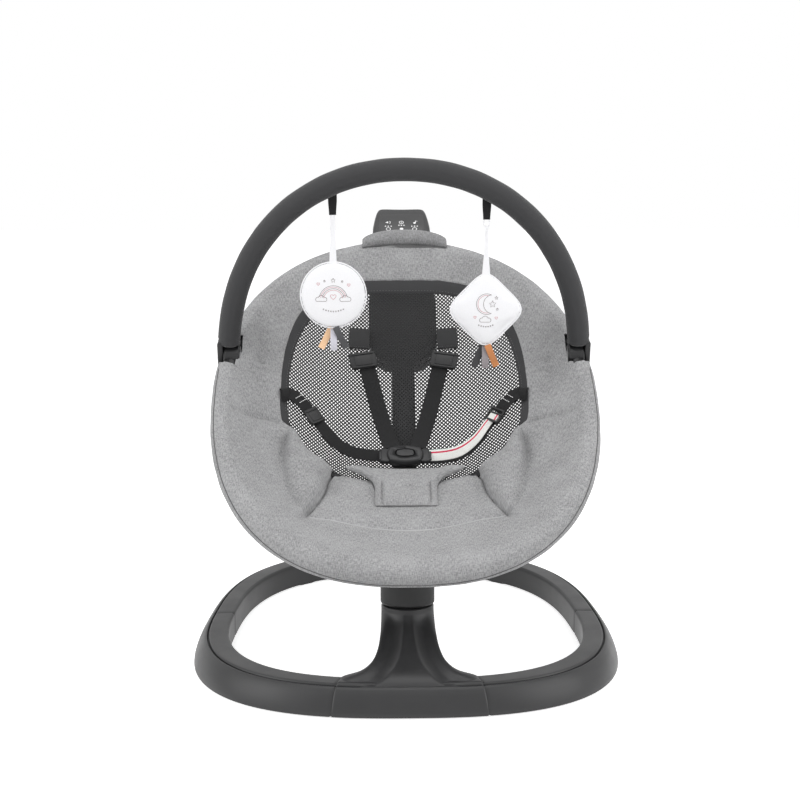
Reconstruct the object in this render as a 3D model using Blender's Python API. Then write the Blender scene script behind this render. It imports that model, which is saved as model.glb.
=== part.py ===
"""Electric baby swing: ring base with a swing column, reclined seat on a tube frame, toy bar.

Metres, +Z up. The origin is on the floor at the centre of the base ring, and -Y is the front.
The seat is modelled in the plane of its rim (x across, y from the front edge to the head,
z out of the bowl), the toy bar about its pivot axis and the collar about the swing axis.
"""
import math

import bmesh
import bpy
from mathutils import Matrix, Vector

GAP = 0.0003

RING_HALF_WIDTH = 0.3045
RING_HALF_LENGTH = 0.330
RING_FULLNESS = 2.65
RING_TAPER = 0.08
RING_FLARE = 0.020
RING_TOP_WIDTH = 0.029
RING_HEIGHT = 0.039
RING_GROOVE = 0.0345
RING_BOTTOM = 0.0023
RING_SEAM = 0.0003
FRONT_HOUSING_HALF_WIDTH = 0.093
SIDE_SEAM_Y = -0.02

SWING_AXIS_FOOT = Vector((0, -0.17, 0.10))
SWING_AXIS_LEAN = math.radians(5)
NECK_RADIUS = 0.0365
NECK_TOP = 0.0030
POCKET_RADIUS = 0.0295
POCKET_DEPTH = 0.033
SHAFT_BOSS_RADIUS = 0.0105
SHAFT_RADIUS = 0.006
SHAFT_BOTTOM = -0.050
SHAFT_TOP = 0.0475
COLLAR_RADIUS = 0.0375
COLLAR_BOTTOM = 0.0045
COLLAR_TOP = 0.0480
BEARING_RADIUS = 0.0125
BEARING_WIDTH = 0.010

RECLINE = math.radians(36.7)
RIM_FRONT = Vector((0, -0.29, 0.172))
RIM_LENGTH = 0.676
RIM_HALF_WIDTH = 0.281
RIM_CENTRE = 0.337
FRONT_FULLNESS = 2.45
HEAD_FULLNESS = 2.15
BOWL_DEPTH = 0.058
HIP_DEPTH = 0.034
HIP_PLACE = 0.29
HIP_SPREAD = 0.13
BOWL_POWER = 2.2
BOWL_EDGE = 0.93
ROLL_RADIUS = 0.0165
ROLL_LIFT = 0.0125
TUBE_RADIUS = 0.010
COVER_SLEEVE_RADIUS = 0.0132
TUBE_INSET = 0.0165
TUBE_DROP = 0.004
PAD_THICKNESS = 0.014
BOLSTER_TOP = 1.31
BOLSTER_PUFF = 0.011
CHANNEL_DEPTH = 0.0038
CHANNEL_WIDTH = 0.055
CREASE_DEPTH = 0.0045
CREASE_WIDTH = 0.045
# Sewn seam round the front of the seat and up both hip bolsters: the angle about the mesh
# opening, and how far the seam lies from the opening towards the rim.
SEAM_COURSE = [(0.0, 0.378), (0.15, 0.378), (0.29, 0.386), (0.476, 0.413), (0.59, 0.455),
               (0.72, 0.397), (0.862, 0.333), (1.007, 0.234), (1.155, 0.098), (BOLSTER_TOP, 0.0)]
COVER_ANGLES = [0.0, 0.14, 0.27, 0.38, 0.47, 0.54, 0.59, 0.64, 0.69, 0.74, 0.81, 0.90, 1.00, 1.10,
                1.20, 1.32, 1.485, 1.65, 1.815, 1.98, 2.145, 2.31, 2.475, 2.64, 2.81, 2.975]

OPENING_CENTRE = 0.370
OPENING_HALF_WIDTH = 0.184
OPENING_HEAD = 0.231
OPENING_SEAT = 0.136
OPENING_HEAD_FULLNESS = 2.8
OPENING_SEAT_FULLNESS = 2.4
BINDING_SIDE = 0.012
BINDING_HEAD = 0.022
BINDING_SEAT = 0.004
BINDING_THICKNESS = 0.003
MESH_THICKNESS = 0.0015
NET_COLUMNS = 9
NET_ROWS = 9
NET_STRAND = 0.0045

HUB_ANGLE = math.radians(107.6)
HUB_RADIUS = 0.017
HUB_HALF_THICKNESS = 0.012
HUB_NOTCH = 0.0335
PANEL_WIDTH = 0.070
PANEL_LENGTH = 0.050
PANEL_Y = 0.7125
FLAP_HALF_WIDTH = 0.068
BUCKLE_Y = 0.2795
PIVOT_PIN_RADIUS = 0.0065
PIVOT_EYE_RADIUS = 0.0068

BAR_LEAN = math.radians(12)
BAR_HALF_WIDTH = 0.262
BAR_RISE = 0.282
BAR_FULLNESS = 2.1
BAR_TUBE_RADIUS = 0.007
SLEEVE_RADIUS = 0.0175
SLEEVE_FOOT = 0.038
CUP_FOOT = 0.0205

LEFT_TOY_X = -0.104
RIGHT_TOY_X = 0.118
LEFT_TOY_HEIGHT = 0.5156
RIGHT_TOY_HEIGHT = 0.4937
TOY_RADIUS = 0.0495
DIAMOND_HALF = 0.0443
TOY_THICKNESS = 0.016
ELASTIC_WIDTH = 0.012
ELASTIC_THICKNESS = 0.0024
HOOK_DROP = 0.0036
RIBBON_WIDTH = 0.010
RIBBON_LENGTH = 0.036

WEBBING_WIDTH = 0.021
WEBBING_THICKNESS = 0.0022

GREY_FABRIC = (0.34, 0.34, 0.345)
BLACK_FABRIC = (0.045, 0.045, 0.048)
CHARCOAL = (0.035, 0.036, 0.038)
BLACK_PLASTIC = (0.02, 0.02, 0.021)
STEEL = (0.55, 0.55, 0.56)
COPPER = (0.72, 0.36, 0.18)
WHITE_FABRIC = (0.85, 0.84, 0.87)
BOARD_GREEN = (0.05, 0.22, 0.10)
PEACH = (0.90, 0.55, 0.33)

parts = {}


def start_collection(name):
    collection = bpy.data.collections.new(name)
    bpy.context.scene.collection.children.link(collection)
    return collection


def clear_scene():
    for item in list(bpy.data.objects):
        bpy.data.objects.remove(item, do_unlink=True)


def make_material(name, color, roughness, metallic=0.0):
    material = bpy.data.materials.new(name)
    material.use_nodes = True
    shader = material.node_tree.nodes["Principled BSDF"]
    shader.inputs["Base Color"].default_value = (*color, 1.0)
    shader.inputs["Roughness"].default_value = roughness
    shader.inputs["Metallic"].default_value = metallic
    return material


def add_empty(name, location, rotation=(0, 0, 0), parent=None):
    empty = bpy.data.objects.new(name, None)
    empty.location = location
    empty.rotation_euler = rotation
    empty.parent = parent
    bpy.data.collections["guides"].objects.link(empty)
    return empty


def add_part(name, bm, color, roughness=0.6, metallic=0.0, parent=None, angle=35):
    """Finish a mesh as one named sub-part."""
    bmesh.ops.recalc_face_normals(bm, faces=bm.faces[:])
    mesh = bpy.data.meshes.new(name)
    bm.to_mesh(mesh)
    bm.free()
    mesh.shade_smooth()
    mesh.set_sharp_from_angle(angle=math.radians(angle))
    mesh.materials.append(make_material(name + "_finish", color, roughness, metallic))
    part = bpy.data.objects.new(name, mesh)
    part.parent = parent
    bpy.data.collections["baby_swing"].objects.link(part)
    parts[name] = part
    return part


def add_cutter(name, bm, parent=None):
    bmesh.ops.recalc_face_normals(bm, faces=bm.faces[:])
    mesh = bpy.data.meshes.new(name)
    bm.to_mesh(mesh)
    bm.free()
    cutter = bpy.data.objects.new(name, mesh)
    cutter.parent = parent
    cutter.hide_render = True
    cutter.display_type = "WIRE"
    bpy.data.collections["cutters"].objects.link(cutter)
    return cutter


def boolean(part, cutter, operation="DIFFERENCE"):
    modifier = part.modifiers.new(operation.lower(), "BOOLEAN")
    modifier.operation = operation
    modifier.solver = "EXACT"
    modifier.object = cutter
    return modifier


def loft(rings, closed=False):
    """Skin from each ring of points to the next; an open loft is capped at both ends."""
    bm = bmesh.new()
    rows = [[bm.verts.new(point) for point in ring] for ring in rings]
    pairs = list(zip(rows, rows[1:]))
    if closed:
        pairs.append((rows[-1], rows[0]))
    for lower, upper in pairs:
        for index in range(len(lower)):
            after = (index + 1) % len(lower)
            bm.faces.new((lower[index], lower[after], upper[after], upper[index]))
    if not closed:
        bm.faces.new(rows[0][::-1])
        bm.faces.new(rows[-1])
    return bm


def box(size, centre=(0, 0, 0), rotation=None, bevel=0.0, segments=2):
    bm = bmesh.new()
    bmesh.ops.create_cube(bm, size=1.0)
    bmesh.ops.scale(bm, vec=size, verts=bm.verts)
    if bevel:
        bmesh.ops.bevel(bm, geom=bm.edges[:], offset=bevel, segments=segments,
                        profile=0.5, affect="EDGES")
    if rotation is not None:
        bmesh.ops.rotate(bm, matrix=rotation, verts=bm.verts)
    bmesh.ops.translate(bm, vec=centre, verts=bm.verts)
    return bm


def cylinder(radius, length, centre=(0, 0, 0), axis="Z", sides=24, top_radius=None):
    bm = bmesh.new()
    end = radius if top_radius is None else top_radius
    bmesh.ops.create_cone(bm, cap_ends=True, segments=sides, radius1=radius, radius2=end,
                          depth=length)
    turns = {"X": Matrix.Rotation(math.pi / 2, 3, "Y"), "Y": Matrix.Rotation(-math.pi / 2, 3, "X")}
    if axis in turns:
        bmesh.ops.rotate(bm, matrix=turns[axis], verts=bm.verts)
    bmesh.ops.translate(bm, vec=centre, verts=bm.verts)
    return bm


def turned(profile, steps=32, axis="Z"):
    """Spin a closed profile of (radius, height) points; points on the axis are allowed."""
    bm = bmesh.new()
    points = [bm.verts.new((radius, 0, height)) for radius, height in profile]
    edges = []
    for start, end in zip(points, points[1:] + points[:1]):
        if start.co.x > 0 or end.co.x > 0:
            edges.append(bm.edges.new((start, end)))
    bmesh.ops.spin(bm, geom=points + edges, cent=(0, 0, 0), axis=(0, 0, 1), dvec=(0, 0, 0),
                   angle=2 * math.pi, steps=steps, use_merge=True)
    bmesh.ops.remove_doubles(bm, verts=bm.verts, dist=1e-6)
    bmesh.ops.dissolve_degenerate(bm, edges=bm.edges[:], dist=1e-7)
    if axis == "X":
        bmesh.ops.rotate(bm, matrix=Matrix.Rotation(math.pi / 2, 3, "Y"), verts=bm.verts)
    if axis == "Y":
        bmesh.ops.rotate(bm, matrix=Matrix.Rotation(-math.pi / 2, 3, "X"), verts=bm.verts)
    return bm


def tube(points, radius, resolution=2):
    """A round tube through the points, as a mesh with its caps welded."""
    curve = bpy.data.curves.new("route", "CURVE")
    curve.dimensions = "3D"
    curve.bevel_depth = radius
    curve.bevel_resolution = resolution
    curve.use_fill_caps = True
    spline = curve.splines.new("POLY")
    spline.points.add(len(points) - 1)
    for point, place in zip(spline.points, points):
        point.co = (*place, 1.0)
    guide = bpy.data.objects.new("route", curve)
    bpy.data.collections["guides"].objects.link(guide)
    evaluated = guide.evaluated_get(bpy.context.evaluated_depsgraph_get())
    mesh = bpy.data.meshes.new_from_object(evaluated)
    bm = bmesh.new()
    bm.from_mesh(mesh)
    bmesh.ops.remove_doubles(bm, verts=bm.verts, dist=1e-5)
    bpy.data.objects.remove(guide, do_unlink=True)
    bpy.data.meshes.remove(mesh)
    return bm


def signed_power(value, power):
    return math.copysign(abs(value) ** power, value)


def smooth(value):
    value = min(max(value, 0.0), 1.0)
    return value * value * (3 - 2 * value)


def mix(start, end, share):
    return start + (end - start) * share


def outline_point(angle, half_width, centre, front, head, front_fullness, head_fullness):
    """A rounded outline seen from its centre: angle 0 is its front end and pi its head end."""
    ahead = math.cos(angle) > 0
    fullness = front_fullness if ahead else head_fullness
    across = abs(math.sin(angle) / half_width) ** fullness
    along = abs(math.cos(angle) / (front if ahead else head)) ** fullness
    reach = (across + along) ** (-1 / fullness)
    return Vector((reach * math.sin(angle), centre - reach * math.cos(angle), 0))


def rim_point(angle, inset=0.0):
    half_length = RIM_LENGTH / 2 - inset
    return outline_point(angle, RIM_HALF_WIDTH - inset, RIM_CENTRE, half_length, half_length,
                         FRONT_FULLNESS, HEAD_FULLNESS)


def opening_point(angle, inset=0.0):
    return outline_point(angle, OPENING_HALF_WIDTH - inset, OPENING_CENTRE, OPENING_SEAT - inset,
                         OPENING_HEAD - inset, OPENING_SEAT_FULLNESS, OPENING_HEAD_FULLNESS)


def rim_share(x, y):
    """0 at the middle of the seat and 1 on its rim."""
    fullness = FRONT_FULLNESS if y < RIM_CENTRE else HEAD_FULLNESS
    across = abs(x / RIM_HALF_WIDTH) ** fullness
    along = abs((y - RIM_CENTRE) / (RIM_LENGTH / 2)) ** fullness
    return (across + along) ** (1 / fullness)


def bowl(x, y):
    """Height of the seat's upper surface over the plane of its rim."""
    share = min(rim_share(x, y) / BOWL_EDGE, 1.0)
    depth = BOWL_DEPTH + HIP_DEPTH * math.exp(-((y - HIP_PLACE) / HIP_SPREAD) ** 2)
    return roll_crest(x, y) - depth * (1 - share ** BOWL_POWER)


def roll_crest(x, y):
    """Rise of the padded rim over the frame tube."""
    return ROLL_LIFT * smooth((rim_share(x, y) / BOWL_EDGE - 0.76) / 0.24)


def seam_share(turn):
    """Where the sewn seam crosses the cover, from the mesh opening (0) to the rim (1)."""
    for (start, low), (end, high) in zip(SEAM_COURSE, SEAM_COURSE[1:]):
        if turn <= end:
            return mix(low, high, (turn - start) / (end - start))
    return 0.0


def padding(turn, share):
    """Rise of the hip bolsters, and the channels sewn round them and across the seat's front."""
    seam = seam_share(turn)
    height = 0.0
    if turn < BOLSTER_TOP:
        height -= CHANNEL_DEPTH * math.exp(-((share - seam) / CHANNEL_WIDTH) ** 2)
    if share < seam:
        crease = mix(0.70, 0.59, share / SEAM_COURSE[4][1])
        height -= CREASE_DEPTH * math.exp(-((turn - crease) / CREASE_WIDTH) ** 2)
        window = smooth((turn - crease) / 0.12) * smooth((BOLSTER_TOP - turn) / 0.30)
        height += BOLSTER_PUFF * window * math.sin(math.pi * mix(0.25, 1.0, share / seam))
    return height


def binding_inset(angle):
    """Width of the binding round the mesh: wide at the head, narrow at the seat."""
    headward = smooth((-math.cos(angle) + 0.1) / 1.1)
    sideward = smooth((1 - math.cos(angle)) / 0.9)
    return mix(mix(BINDING_SEAT, BINDING_SIDE, sideward), BINDING_HEAD, headward)


def ring_outline(angle, inset, height):
    """A point of the base ring; angle 0 is the front and pi the rear."""
    half_length = RING_HALF_LENGTH - inset
    point = outline_point(angle, RING_HALF_WIDTH - inset, 0, half_length, half_length,
                          RING_FULLNESS, RING_FULLNESS)
    return Vector((point.x * (1 - RING_TAPER * point.y / half_length), point.y, height))


def ring_section(angle):
    """The ring's skirt flares out below a groove round the top; its inner wall is upright."""
    inner = RING_FLARE + RING_TOP_WIDTH
    corners = [(0.0, RING_BOTTOM), (0.0008, 0.008), (0.0060, 0.022), (0.0132, 0.0338),
               (0.0172, 0.0371), (0.0187, 0.0364), (0.0193, RING_GROOVE), (0.0206, RING_GROOVE),
               (0.0213, 0.0378), (0.0238, RING_HEIGHT), (inner - 0.004, RING_HEIGHT),
               (inner - 0.001, 0.0375), (inner, 0.034), (inner, RING_BOTTOM)]
    return [ring_outline(angle, inset, height) for inset, height in corners]


def ring_angle(test, low, high):
    """The angle between low and high where the test value of the ring's middle crosses zero."""
    for _ in range(40):
        middle = (low + high) / 2
        if test(ring_outline(middle, 0.030, 0)) < 0:
            low = middle
        else:
            high = middle
    return middle


def ring_sector(start, end, steps):
    return loft([ring_section(mix(start, end, step / steps)) for step in range(steps + 1)])


def column_sections():
    """Front and rear profile points (y, z), half width and corner fullness, from foot to neck."""
    return [
        (-0.3175, 0.0300, -0.2830, 0.0060, 0.0925, 4.0),
        (-0.3085, 0.0420, -0.2770, 0.0110, 0.0840, 3.4),
        (-0.2965, 0.0505, -0.2640, 0.0170, 0.0640, 2.9),
        (-0.2780, 0.0580, -0.2450, 0.0240, 0.0490, 2.6),
        (-0.2560, 0.0670, -0.2180, 0.0330, 0.0415, 2.4),
        (-0.2350, 0.0780, -0.1880, 0.0450, 0.0382, 2.2),
        (-0.2190, 0.0900, -0.1600, 0.0610, 0.0370, 2.1),
    ]


def build_base():
    seam = RING_SEAM
    front_edge = ring_angle(lambda p: p.x - FRONT_HOUSING_HALF_WIDTH, 0, math.pi / 3)
    side_edge = ring_angle(lambda p: p.y - SIDE_SEAM_Y, 0.3, 2.8)
    slit = seam / 0.3
    front = ring_sector(-front_edge, front_edge, 12)
    right = ring_sector(front_edge + slit, side_edge, 12)
    left = ring_sector(-front_edge - slit, -side_edge, 12)
    rear = ring_sector(side_edge + slit, 2 * math.pi - side_edge - slit, 24)
    housing = add_part("base_front_housing", front, CHARCOAL, 0.55)
    add_part("base_arc_right", right, CHARCOAL, 0.55)
    add_part("base_arc_left", left, CHARCOAL, 0.55)
    add_part("base_arc_rear", rear, CHARCOAL, 0.55)
    boolean(housing, add_cutter("column_form", column_form()), "UNION")
    return housing


def column_form():
    """The column rises from the ring's front and leans back over the hole, then up the axis."""
    rings = []
    for front_y, front_z, rear_y, rear_z, half_width, fullness in column_sections():
        front = Vector((0, front_y, front_z))
        rear = Vector((0, rear_y, rear_z))
        centre = (front + rear) / 2
        half = (front - rear) / 2
        ring = []
        for step in range(32):
            turn = 2 * math.pi * step / 32
            across = half_width * signed_power(math.sin(turn), 2 / fullness)
            ring.append(centre + half * signed_power(math.cos(turn), 2 / fullness)
                        + Vector((across, 0, 0)))
        rings.append(ring)
    lean = Matrix.Rotation(-SWING_AXIS_LEAN, 3, "X")
    for height in (-0.010, NECK_TOP - 0.001, NECK_TOP):
        radius = NECK_RADIUS - (0.001 if height == NECK_TOP else 0)
        ring = []
        for step in range(32):
            turn = 2 * math.pi * step / 32
            flat = Vector((radius * math.sin(turn), -radius * math.cos(turn), height))
            ring.append(SWING_AXIS_FOOT + lean @ flat)
        rings.append(ring)
    return loft(rings)


def build_feet():
    """Grip pads under the ring; each stands a little proud of the inner wall."""
    places = {"foot_front_right": 0.42, "foot_side_right": 1.62, "foot_rear_right": 2.52,
              "foot_front_left": -0.42, "foot_side_left": -1.62, "foot_rear_left": -2.52}
    for name, angle in places.items():
        rings = []
        for step in range(5):
            turn = angle + (step - 2) * 0.035
            pinch = 0.004 if step in (0, 4) else 0.0
            corners = [(0.014 + pinch, 0), (0.014 + pinch, RING_BOTTOM - GAP),
                       (0.046 - pinch, RING_BOTTOM - GAP), (0.046 - pinch, 0)]
            rings.append([ring_outline(turn, inset, height) for inset, height in corners])
        add_part(name, loft(rings), BLACK_PLASTIC, 0.9)


def build_column_works(housing, axis):
    """Shaft, drive coil and magnet, bearings and the collar that turns on the column."""
    pocket = turned([(SHAFT_BOSS_RADIUS, 0.010), (POCKET_RADIUS, 0.010),
                     (POCKET_RADIUS, -POCKET_DEPTH), (SHAFT_BOSS_RADIUS, -POCKET_DEPTH)], 28)
    boolean(housing, add_cutter("drive_pocket", pocket, axis))
    bore = cylinder(SHAFT_RADIUS + GAP, 0.080, (0, 0, SHAFT_BOTTOM + 0.040 - GAP), sides=20)
    boolean(housing, add_cutter("shaft_bore", bore, axis))
    length = SHAFT_TOP - SHAFT_BOTTOM
    shaft = cylinder(SHAFT_RADIUS, length, (0, 0, (SHAFT_TOP + SHAFT_BOTTOM) / 2), sides=20)
    add_part("pivot_shaft", shaft, STEEL, 0.25, 1.0, axis)
    coil_place = (0, -(POCKET_RADIUS + SHAFT_BOSS_RADIUS) / 2, -0.0205)
    add_part("drive_coil", cylinder(0.0085, 0.020, coil_place, sides=20), COPPER, 0.35, 0.9, axis)
    magnet = cylinder(0.0075, 0.012, (0, coil_place[1], COLLAR_BOTTOM - GAP - 0.006), sides=16)
    add_part("drive_magnet", magnet, STEEL, 0.3, 1.0, axis)
    bore_radius = BEARING_RADIUS + GAP
    collar = turned([(bore_radius, COLLAR_BOTTOM), (COLLAR_RADIUS - 0.001, COLLAR_BOTTOM),
                     (COLLAR_RADIUS, COLLAR_BOTTOM + 0.001), (COLLAR_RADIUS, COLLAR_TOP - 0.002),
                     (COLLAR_RADIUS - 0.002, COLLAR_TOP), (bore_radius, COLLAR_TOP)], 36)
    add_part("swing_collar", collar, CHARCOAL, 0.5, parent=axis)
    for name, height in (("bearing_lower", 0.008), ("bearing_upper", 0.034)):
        inner = SHAFT_RADIUS + GAP
        ring = turned([(inner, height), (BEARING_RADIUS, height),
                       (BEARING_RADIUS, height + BEARING_WIDTH), (inner, height + BEARING_WIDTH)], 20)
        add_part(name, ring, STEEL, 0.3, 1.0, axis)


def build_power_socket(housing):
    """Barrel inlet in the ring's inner wall beside the column's foot."""
    place = Vector((0.066, -(RING_HALF_LENGTH - RING_FLARE - RING_TOP_WIDTH), 0.020))
    recess = cylinder(0.0058, 0.024, place, "Y", 20)
    boolean(housing, add_cutter("socket_recess", recess))
    profile = [(0, -0.0110), (0.0055, -0.0110), (0.0055, 0), (0.0045, 0), (0.0045, -0.0085), (0, -0.0085)]
    socket = turned(profile, 20, "Y")
    bmesh.ops.translate(socket, vec=place + Vector((0, -0.0008, 0)), verts=socket.verts)
    add_part("power_socket", socket, BLACK_PLASTIC, 0.4)


def frame_path(start, end, count):
    points = []
    for step in range(count + 1):
        point = rim_point(mix(start, end, step / count), TUBE_INSET)
        points.append(Vector((point.x, point.y, -TUBE_DROP)))
    return points


def head_tube_path():
    return frame_path(HUB_ANGLE + 0.006, 2 * math.pi - HUB_ANGLE - 0.006, 30)


def rim_normal(angle):
    ahead = rim_point(angle + 0.01, TUBE_INSET) - rim_point(angle - 0.01, TUBE_INSET)
    return Vector((ahead.y, -ahead.x, 0)).normalized()


def cover_section(angle):
    """The padded cover: top from the mesh opening to the rim, round the tube, and back under."""
    inner = opening_point(angle)
    outer = rim_point(angle, TUBE_INSET + 0.004)
    out = rim_normal(angle)
    centre = rim_point(angle, TUBE_INSET) + Vector((0, 0, -TUBE_DROP))
    up = Vector((0, 0, 1))
    turn = abs(angle)
    seam = max(seam_share(turn), 0.14)
    top = []
    for share in (0.0, seam * 0.5, seam - 0.06, seam, seam + 0.06, mix(seam, 0.82, 0.55), 0.82, 0.96):
        point = inner.lerp(outer, share)
        top.append(Vector((point.x, point.y, bowl(point.x, point.y) + padding(turn, share))))
    under = []
    for share in (0.82, 0.45, 0.0):
        point = inner.lerp(outer, share)
        under.append(Vector((point.x, point.y, bowl(point.x, point.y) - PAD_THICKNESS)))
    roll = []
    for degrees in (72, 36, 0, -40, -85, -130):
        turn = math.radians(degrees)
        roll.append(centre + (out * math.cos(turn) + up * math.sin(turn)) * ROLL_RADIUS)
    sleeve = []
    for degrees in (-130, -80, -28, 25, 78, 130):
        turn = math.radians(degrees)
        sleeve.append(centre + (out * math.cos(turn) + up * math.sin(turn)) * COVER_SLEEVE_RADIUS)
    return top + roll + sleeve + under


def cover_angles():
    left = [-angle for angle in COVER_ANGLES[:0:-1]]
    return COVER_ANGLES + [math.pi] + left


def build_cover(seat):
    rings = [cover_section(angle) for angle in cover_angles()]
    cover = add_part("seat_cover", loft(rings, closed=True), GREY_FABRIC, 0.95, parent=seat)
    for side, name in ((1, "right"), (-1, "left")):
        hub = rim_point(side * HUB_ANGLE, TUBE_INSET)
        notch = cylinder(HUB_NOTCH, 0.060, (hub.x + side * 0.0115, hub.y, -TUBE_DROP), "X", 24)
        boolean(cover, add_cutter("hub_notch_" + name, notch, seat))
    head = box((0.0995, 0.060, 0.0588), (0, RIM_LENGTH - 0.0065, -0.0206))
    boolean(cover, add_cutter("head_notch", head, seat))
    front = box((0.036, 0.040, 0.030), (0, 0.012, -TUBE_DROP - 0.0155))
    boolean(cover, add_cutter("bracket_notch", front, seat))
    return cover


def band(outer, inner, thickness, lift):
    """A flat fabric band between two outlines, laid on the bowl."""
    rings = []
    for angle in cover_angles():
        ring = []
        for point in (outer(angle), inner(angle)):
            ring.append(Vector((point.x, point.y, bowl(point.x, point.y) + lift)))
        for point in (inner(angle), outer(angle)):
            ring.append(Vector((point.x, point.y, bowl(point.x, point.y) + lift - thickness)))
        rings.append(ring)
    return loft(rings, closed=True)


def build_binding(seat):
    binding = band(lambda angle: opening_point(angle, 0.0006),
                   lambda angle: opening_point(angle, binding_inset(angle)),
                   BINDING_THICKNESS, -0.002)
    add_part("mesh_binding", binding, BLACK_FABRIC, 0.95, parent=seat)


def build_mesh_panel(seat):
    """An open net: a grid drawn out to the binding's inner outline, each cell pierced."""
    bm = bmesh.new()
    bmesh.ops.create_grid(bm, x_segments=NET_COLUMNS, y_segments=NET_ROWS, size=1.0)
    for vert in bm.verts:
        across = vert.co.x * math.sqrt(1 - vert.co.y ** 2 / 2)
        along = vert.co.y * math.sqrt(1 - vert.co.x ** 2 / 2)
        reach = math.hypot(across, along)
        angle = math.atan2(across, -along)
        edge = opening_point(angle, binding_inset(angle) + 0.0016)
        centre = Vector((0, OPENING_CENTRE, 0))
        point = centre.lerp(edge, reach)
        vert.co = (point.x, point.y, bowl(point.x, point.y) - 0.0022)
    bmesh.ops.recalc_face_normals(bm, faces=bm.faces[:])
    cells = bm.faces[:]
    bmesh.ops.inset_individual(bm, faces=cells, thickness=NET_STRAND)
    bmesh.ops.delete(bm, geom=cells, context="FACES_ONLY")
    bmesh.ops.solidify(bm, geom=bm.faces[:], thickness=MESH_THICKNESS)
    add_part("mesh_panel", bm, BLACK_FABRIC, 0.95, parent=seat)


def build_frame(seat):
    """Two bent tubes that meet inside the side hubs, and the hubs with their pivot pins."""
    front_path = frame_path(-HUB_ANGLE + 0.006, HUB_ANGLE - 0.006, 34)
    add_part("frame_tube_front", tube(front_path, TUBE_RADIUS), BLACK_PLASTIC, 0.4, 0.6, seat)
    add_part("frame_tube_head", tube(head_tube_path(), TUBE_RADIUS), BLACK_PLASTIC, 0.4, 0.6, seat)
    reach = HUB_HALF_THICKNESS
    for side, name in ((1, "right"), (-1, "left")):
        place = rim_point(side * HUB_ANGLE, TUBE_INSET) + Vector((0, 0, -TUBE_DROP))
        profile = [(0, -reach), (HUB_RADIUS - 0.002, -reach), (HUB_RADIUS, -reach + 0.002),
                   (HUB_RADIUS, reach - 0.002), (HUB_RADIUS - 0.002, reach),
                   (PIVOT_PIN_RADIUS, reach), (PIVOT_PIN_RADIUS, reach + 0.0095), (0, reach + 0.0095)]
        hub_form = turned(profile, 24, "X")
        if side < 0:
            bmesh.ops.rotate(hub_form, matrix=Matrix.Rotation(math.pi, 3, "Z"), verts=hub_form.verts)
        bmesh.ops.translate(hub_form, vec=place, verts=hub_form.verts)
        hub = add_part("side_hub_" + name, hub_form, CHARCOAL, 0.5, parent=seat)
        path = frame_path(side * (HUB_ANGLE - 0.12), side * (HUB_ANGLE + 0.12), 6)
        socket = tube(path, TUBE_RADIUS + GAP)
        boolean(hub, add_cutter("tube_socket_" + name, socket, seat))


def spine_height(y):
    """Front face of the spine: under the cover, and lower still where the head tube passes."""
    head_drop = 0.012 * smooth((y - 0.57) / 0.05)
    return bowl(0, y) - roll_crest(0, y) - 0.018 - head_drop


def spine_half_width(y):
    """A narrow stem that widens to a paddle behind the back, and to a foot over the collar."""
    paddle = 0.036 * smooth((y - 0.432) / 0.040)
    foot = 0.014 * (1 - smooth((y - 0.09) / 0.09))
    return 0.018 + paddle + foot - 0.004 * smooth((y - 0.58) / 0.05)


def spine_shell(top, bottom, low, high, count):
    """Rounded slab along the spine between two depths under its front face."""
    rings = []
    for step in range(count + 1):
        y = mix(low, high, step / count)
        half = spine_half_width(y)
        face = spine_height(y)
        edge = min(0.005, (bottom - top) / 2.5)
        outline = [(-half + edge, face - top), (half - edge, face - top),
                   (half, face - top - edge), (half, face - bottom + edge),
                   (half - edge, face - bottom), (-half + edge, face - bottom),
                   (-half, face - bottom + edge), (-half, face - top - edge)]
        rings.append([Vector((x, y, z)) for x, z in outline])
    return loft(rings)


def build_spine(seat, axis):
    front = spine_shell(0.0, 0.010, 0.050, 0.6435, 26)
    add_part("spine_front_shell", front, CHARCOAL, 0.55, parent=seat)
    rear = spine_shell(0.0103, 0.027, 0.050, 0.6435, 26)
    shell = add_part("spine_rear_shell", rear, CHARCOAL, 0.55, parent=seat)
    foot = cylinder(0.0355, 0.030, (0, 0, COLLAR_TOP + GAP + 0.015), sides=32, top_radius=0.031)
    boolean(shell, add_cutter("spine_foot", foot, axis), "UNION")
    keep_clear = spine_shell(-0.030, 0.0101, 0.020, 0.200, 8)
    boolean(shell, add_cutter("front_shell_seat", keep_clear, seat))


def build_front_bracket(seat):
    """Bent steel strap from the spine's foot to the front tube."""
    route = [(0.0485, -0.0520), (0.0400, -0.0440), (0.0320, -0.0330), (0.0240, -0.0225),
             (0.0165, -0.0165), (0.0085, -0.0165)]
    rings = []
    for index, (y, z) in enumerate(route):
        before = Vector((0, *route[max(index - 1, 0)]))
        after = Vector((0, *route[min(index + 1, len(route) - 1)]))
        along = (after - before).normalized()
        normal = Vector((0, -along.z, along.y)) * 0.0018
        rings.append([Vector((x, y, z)) + normal * side
                      for x, side in ((-0.015, -1), (0.015, -1), (0.015, 1), (-0.015, 1))])
    add_part("front_bracket", loft(rings), STEEL, 0.4, 1.0, seat)


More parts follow.
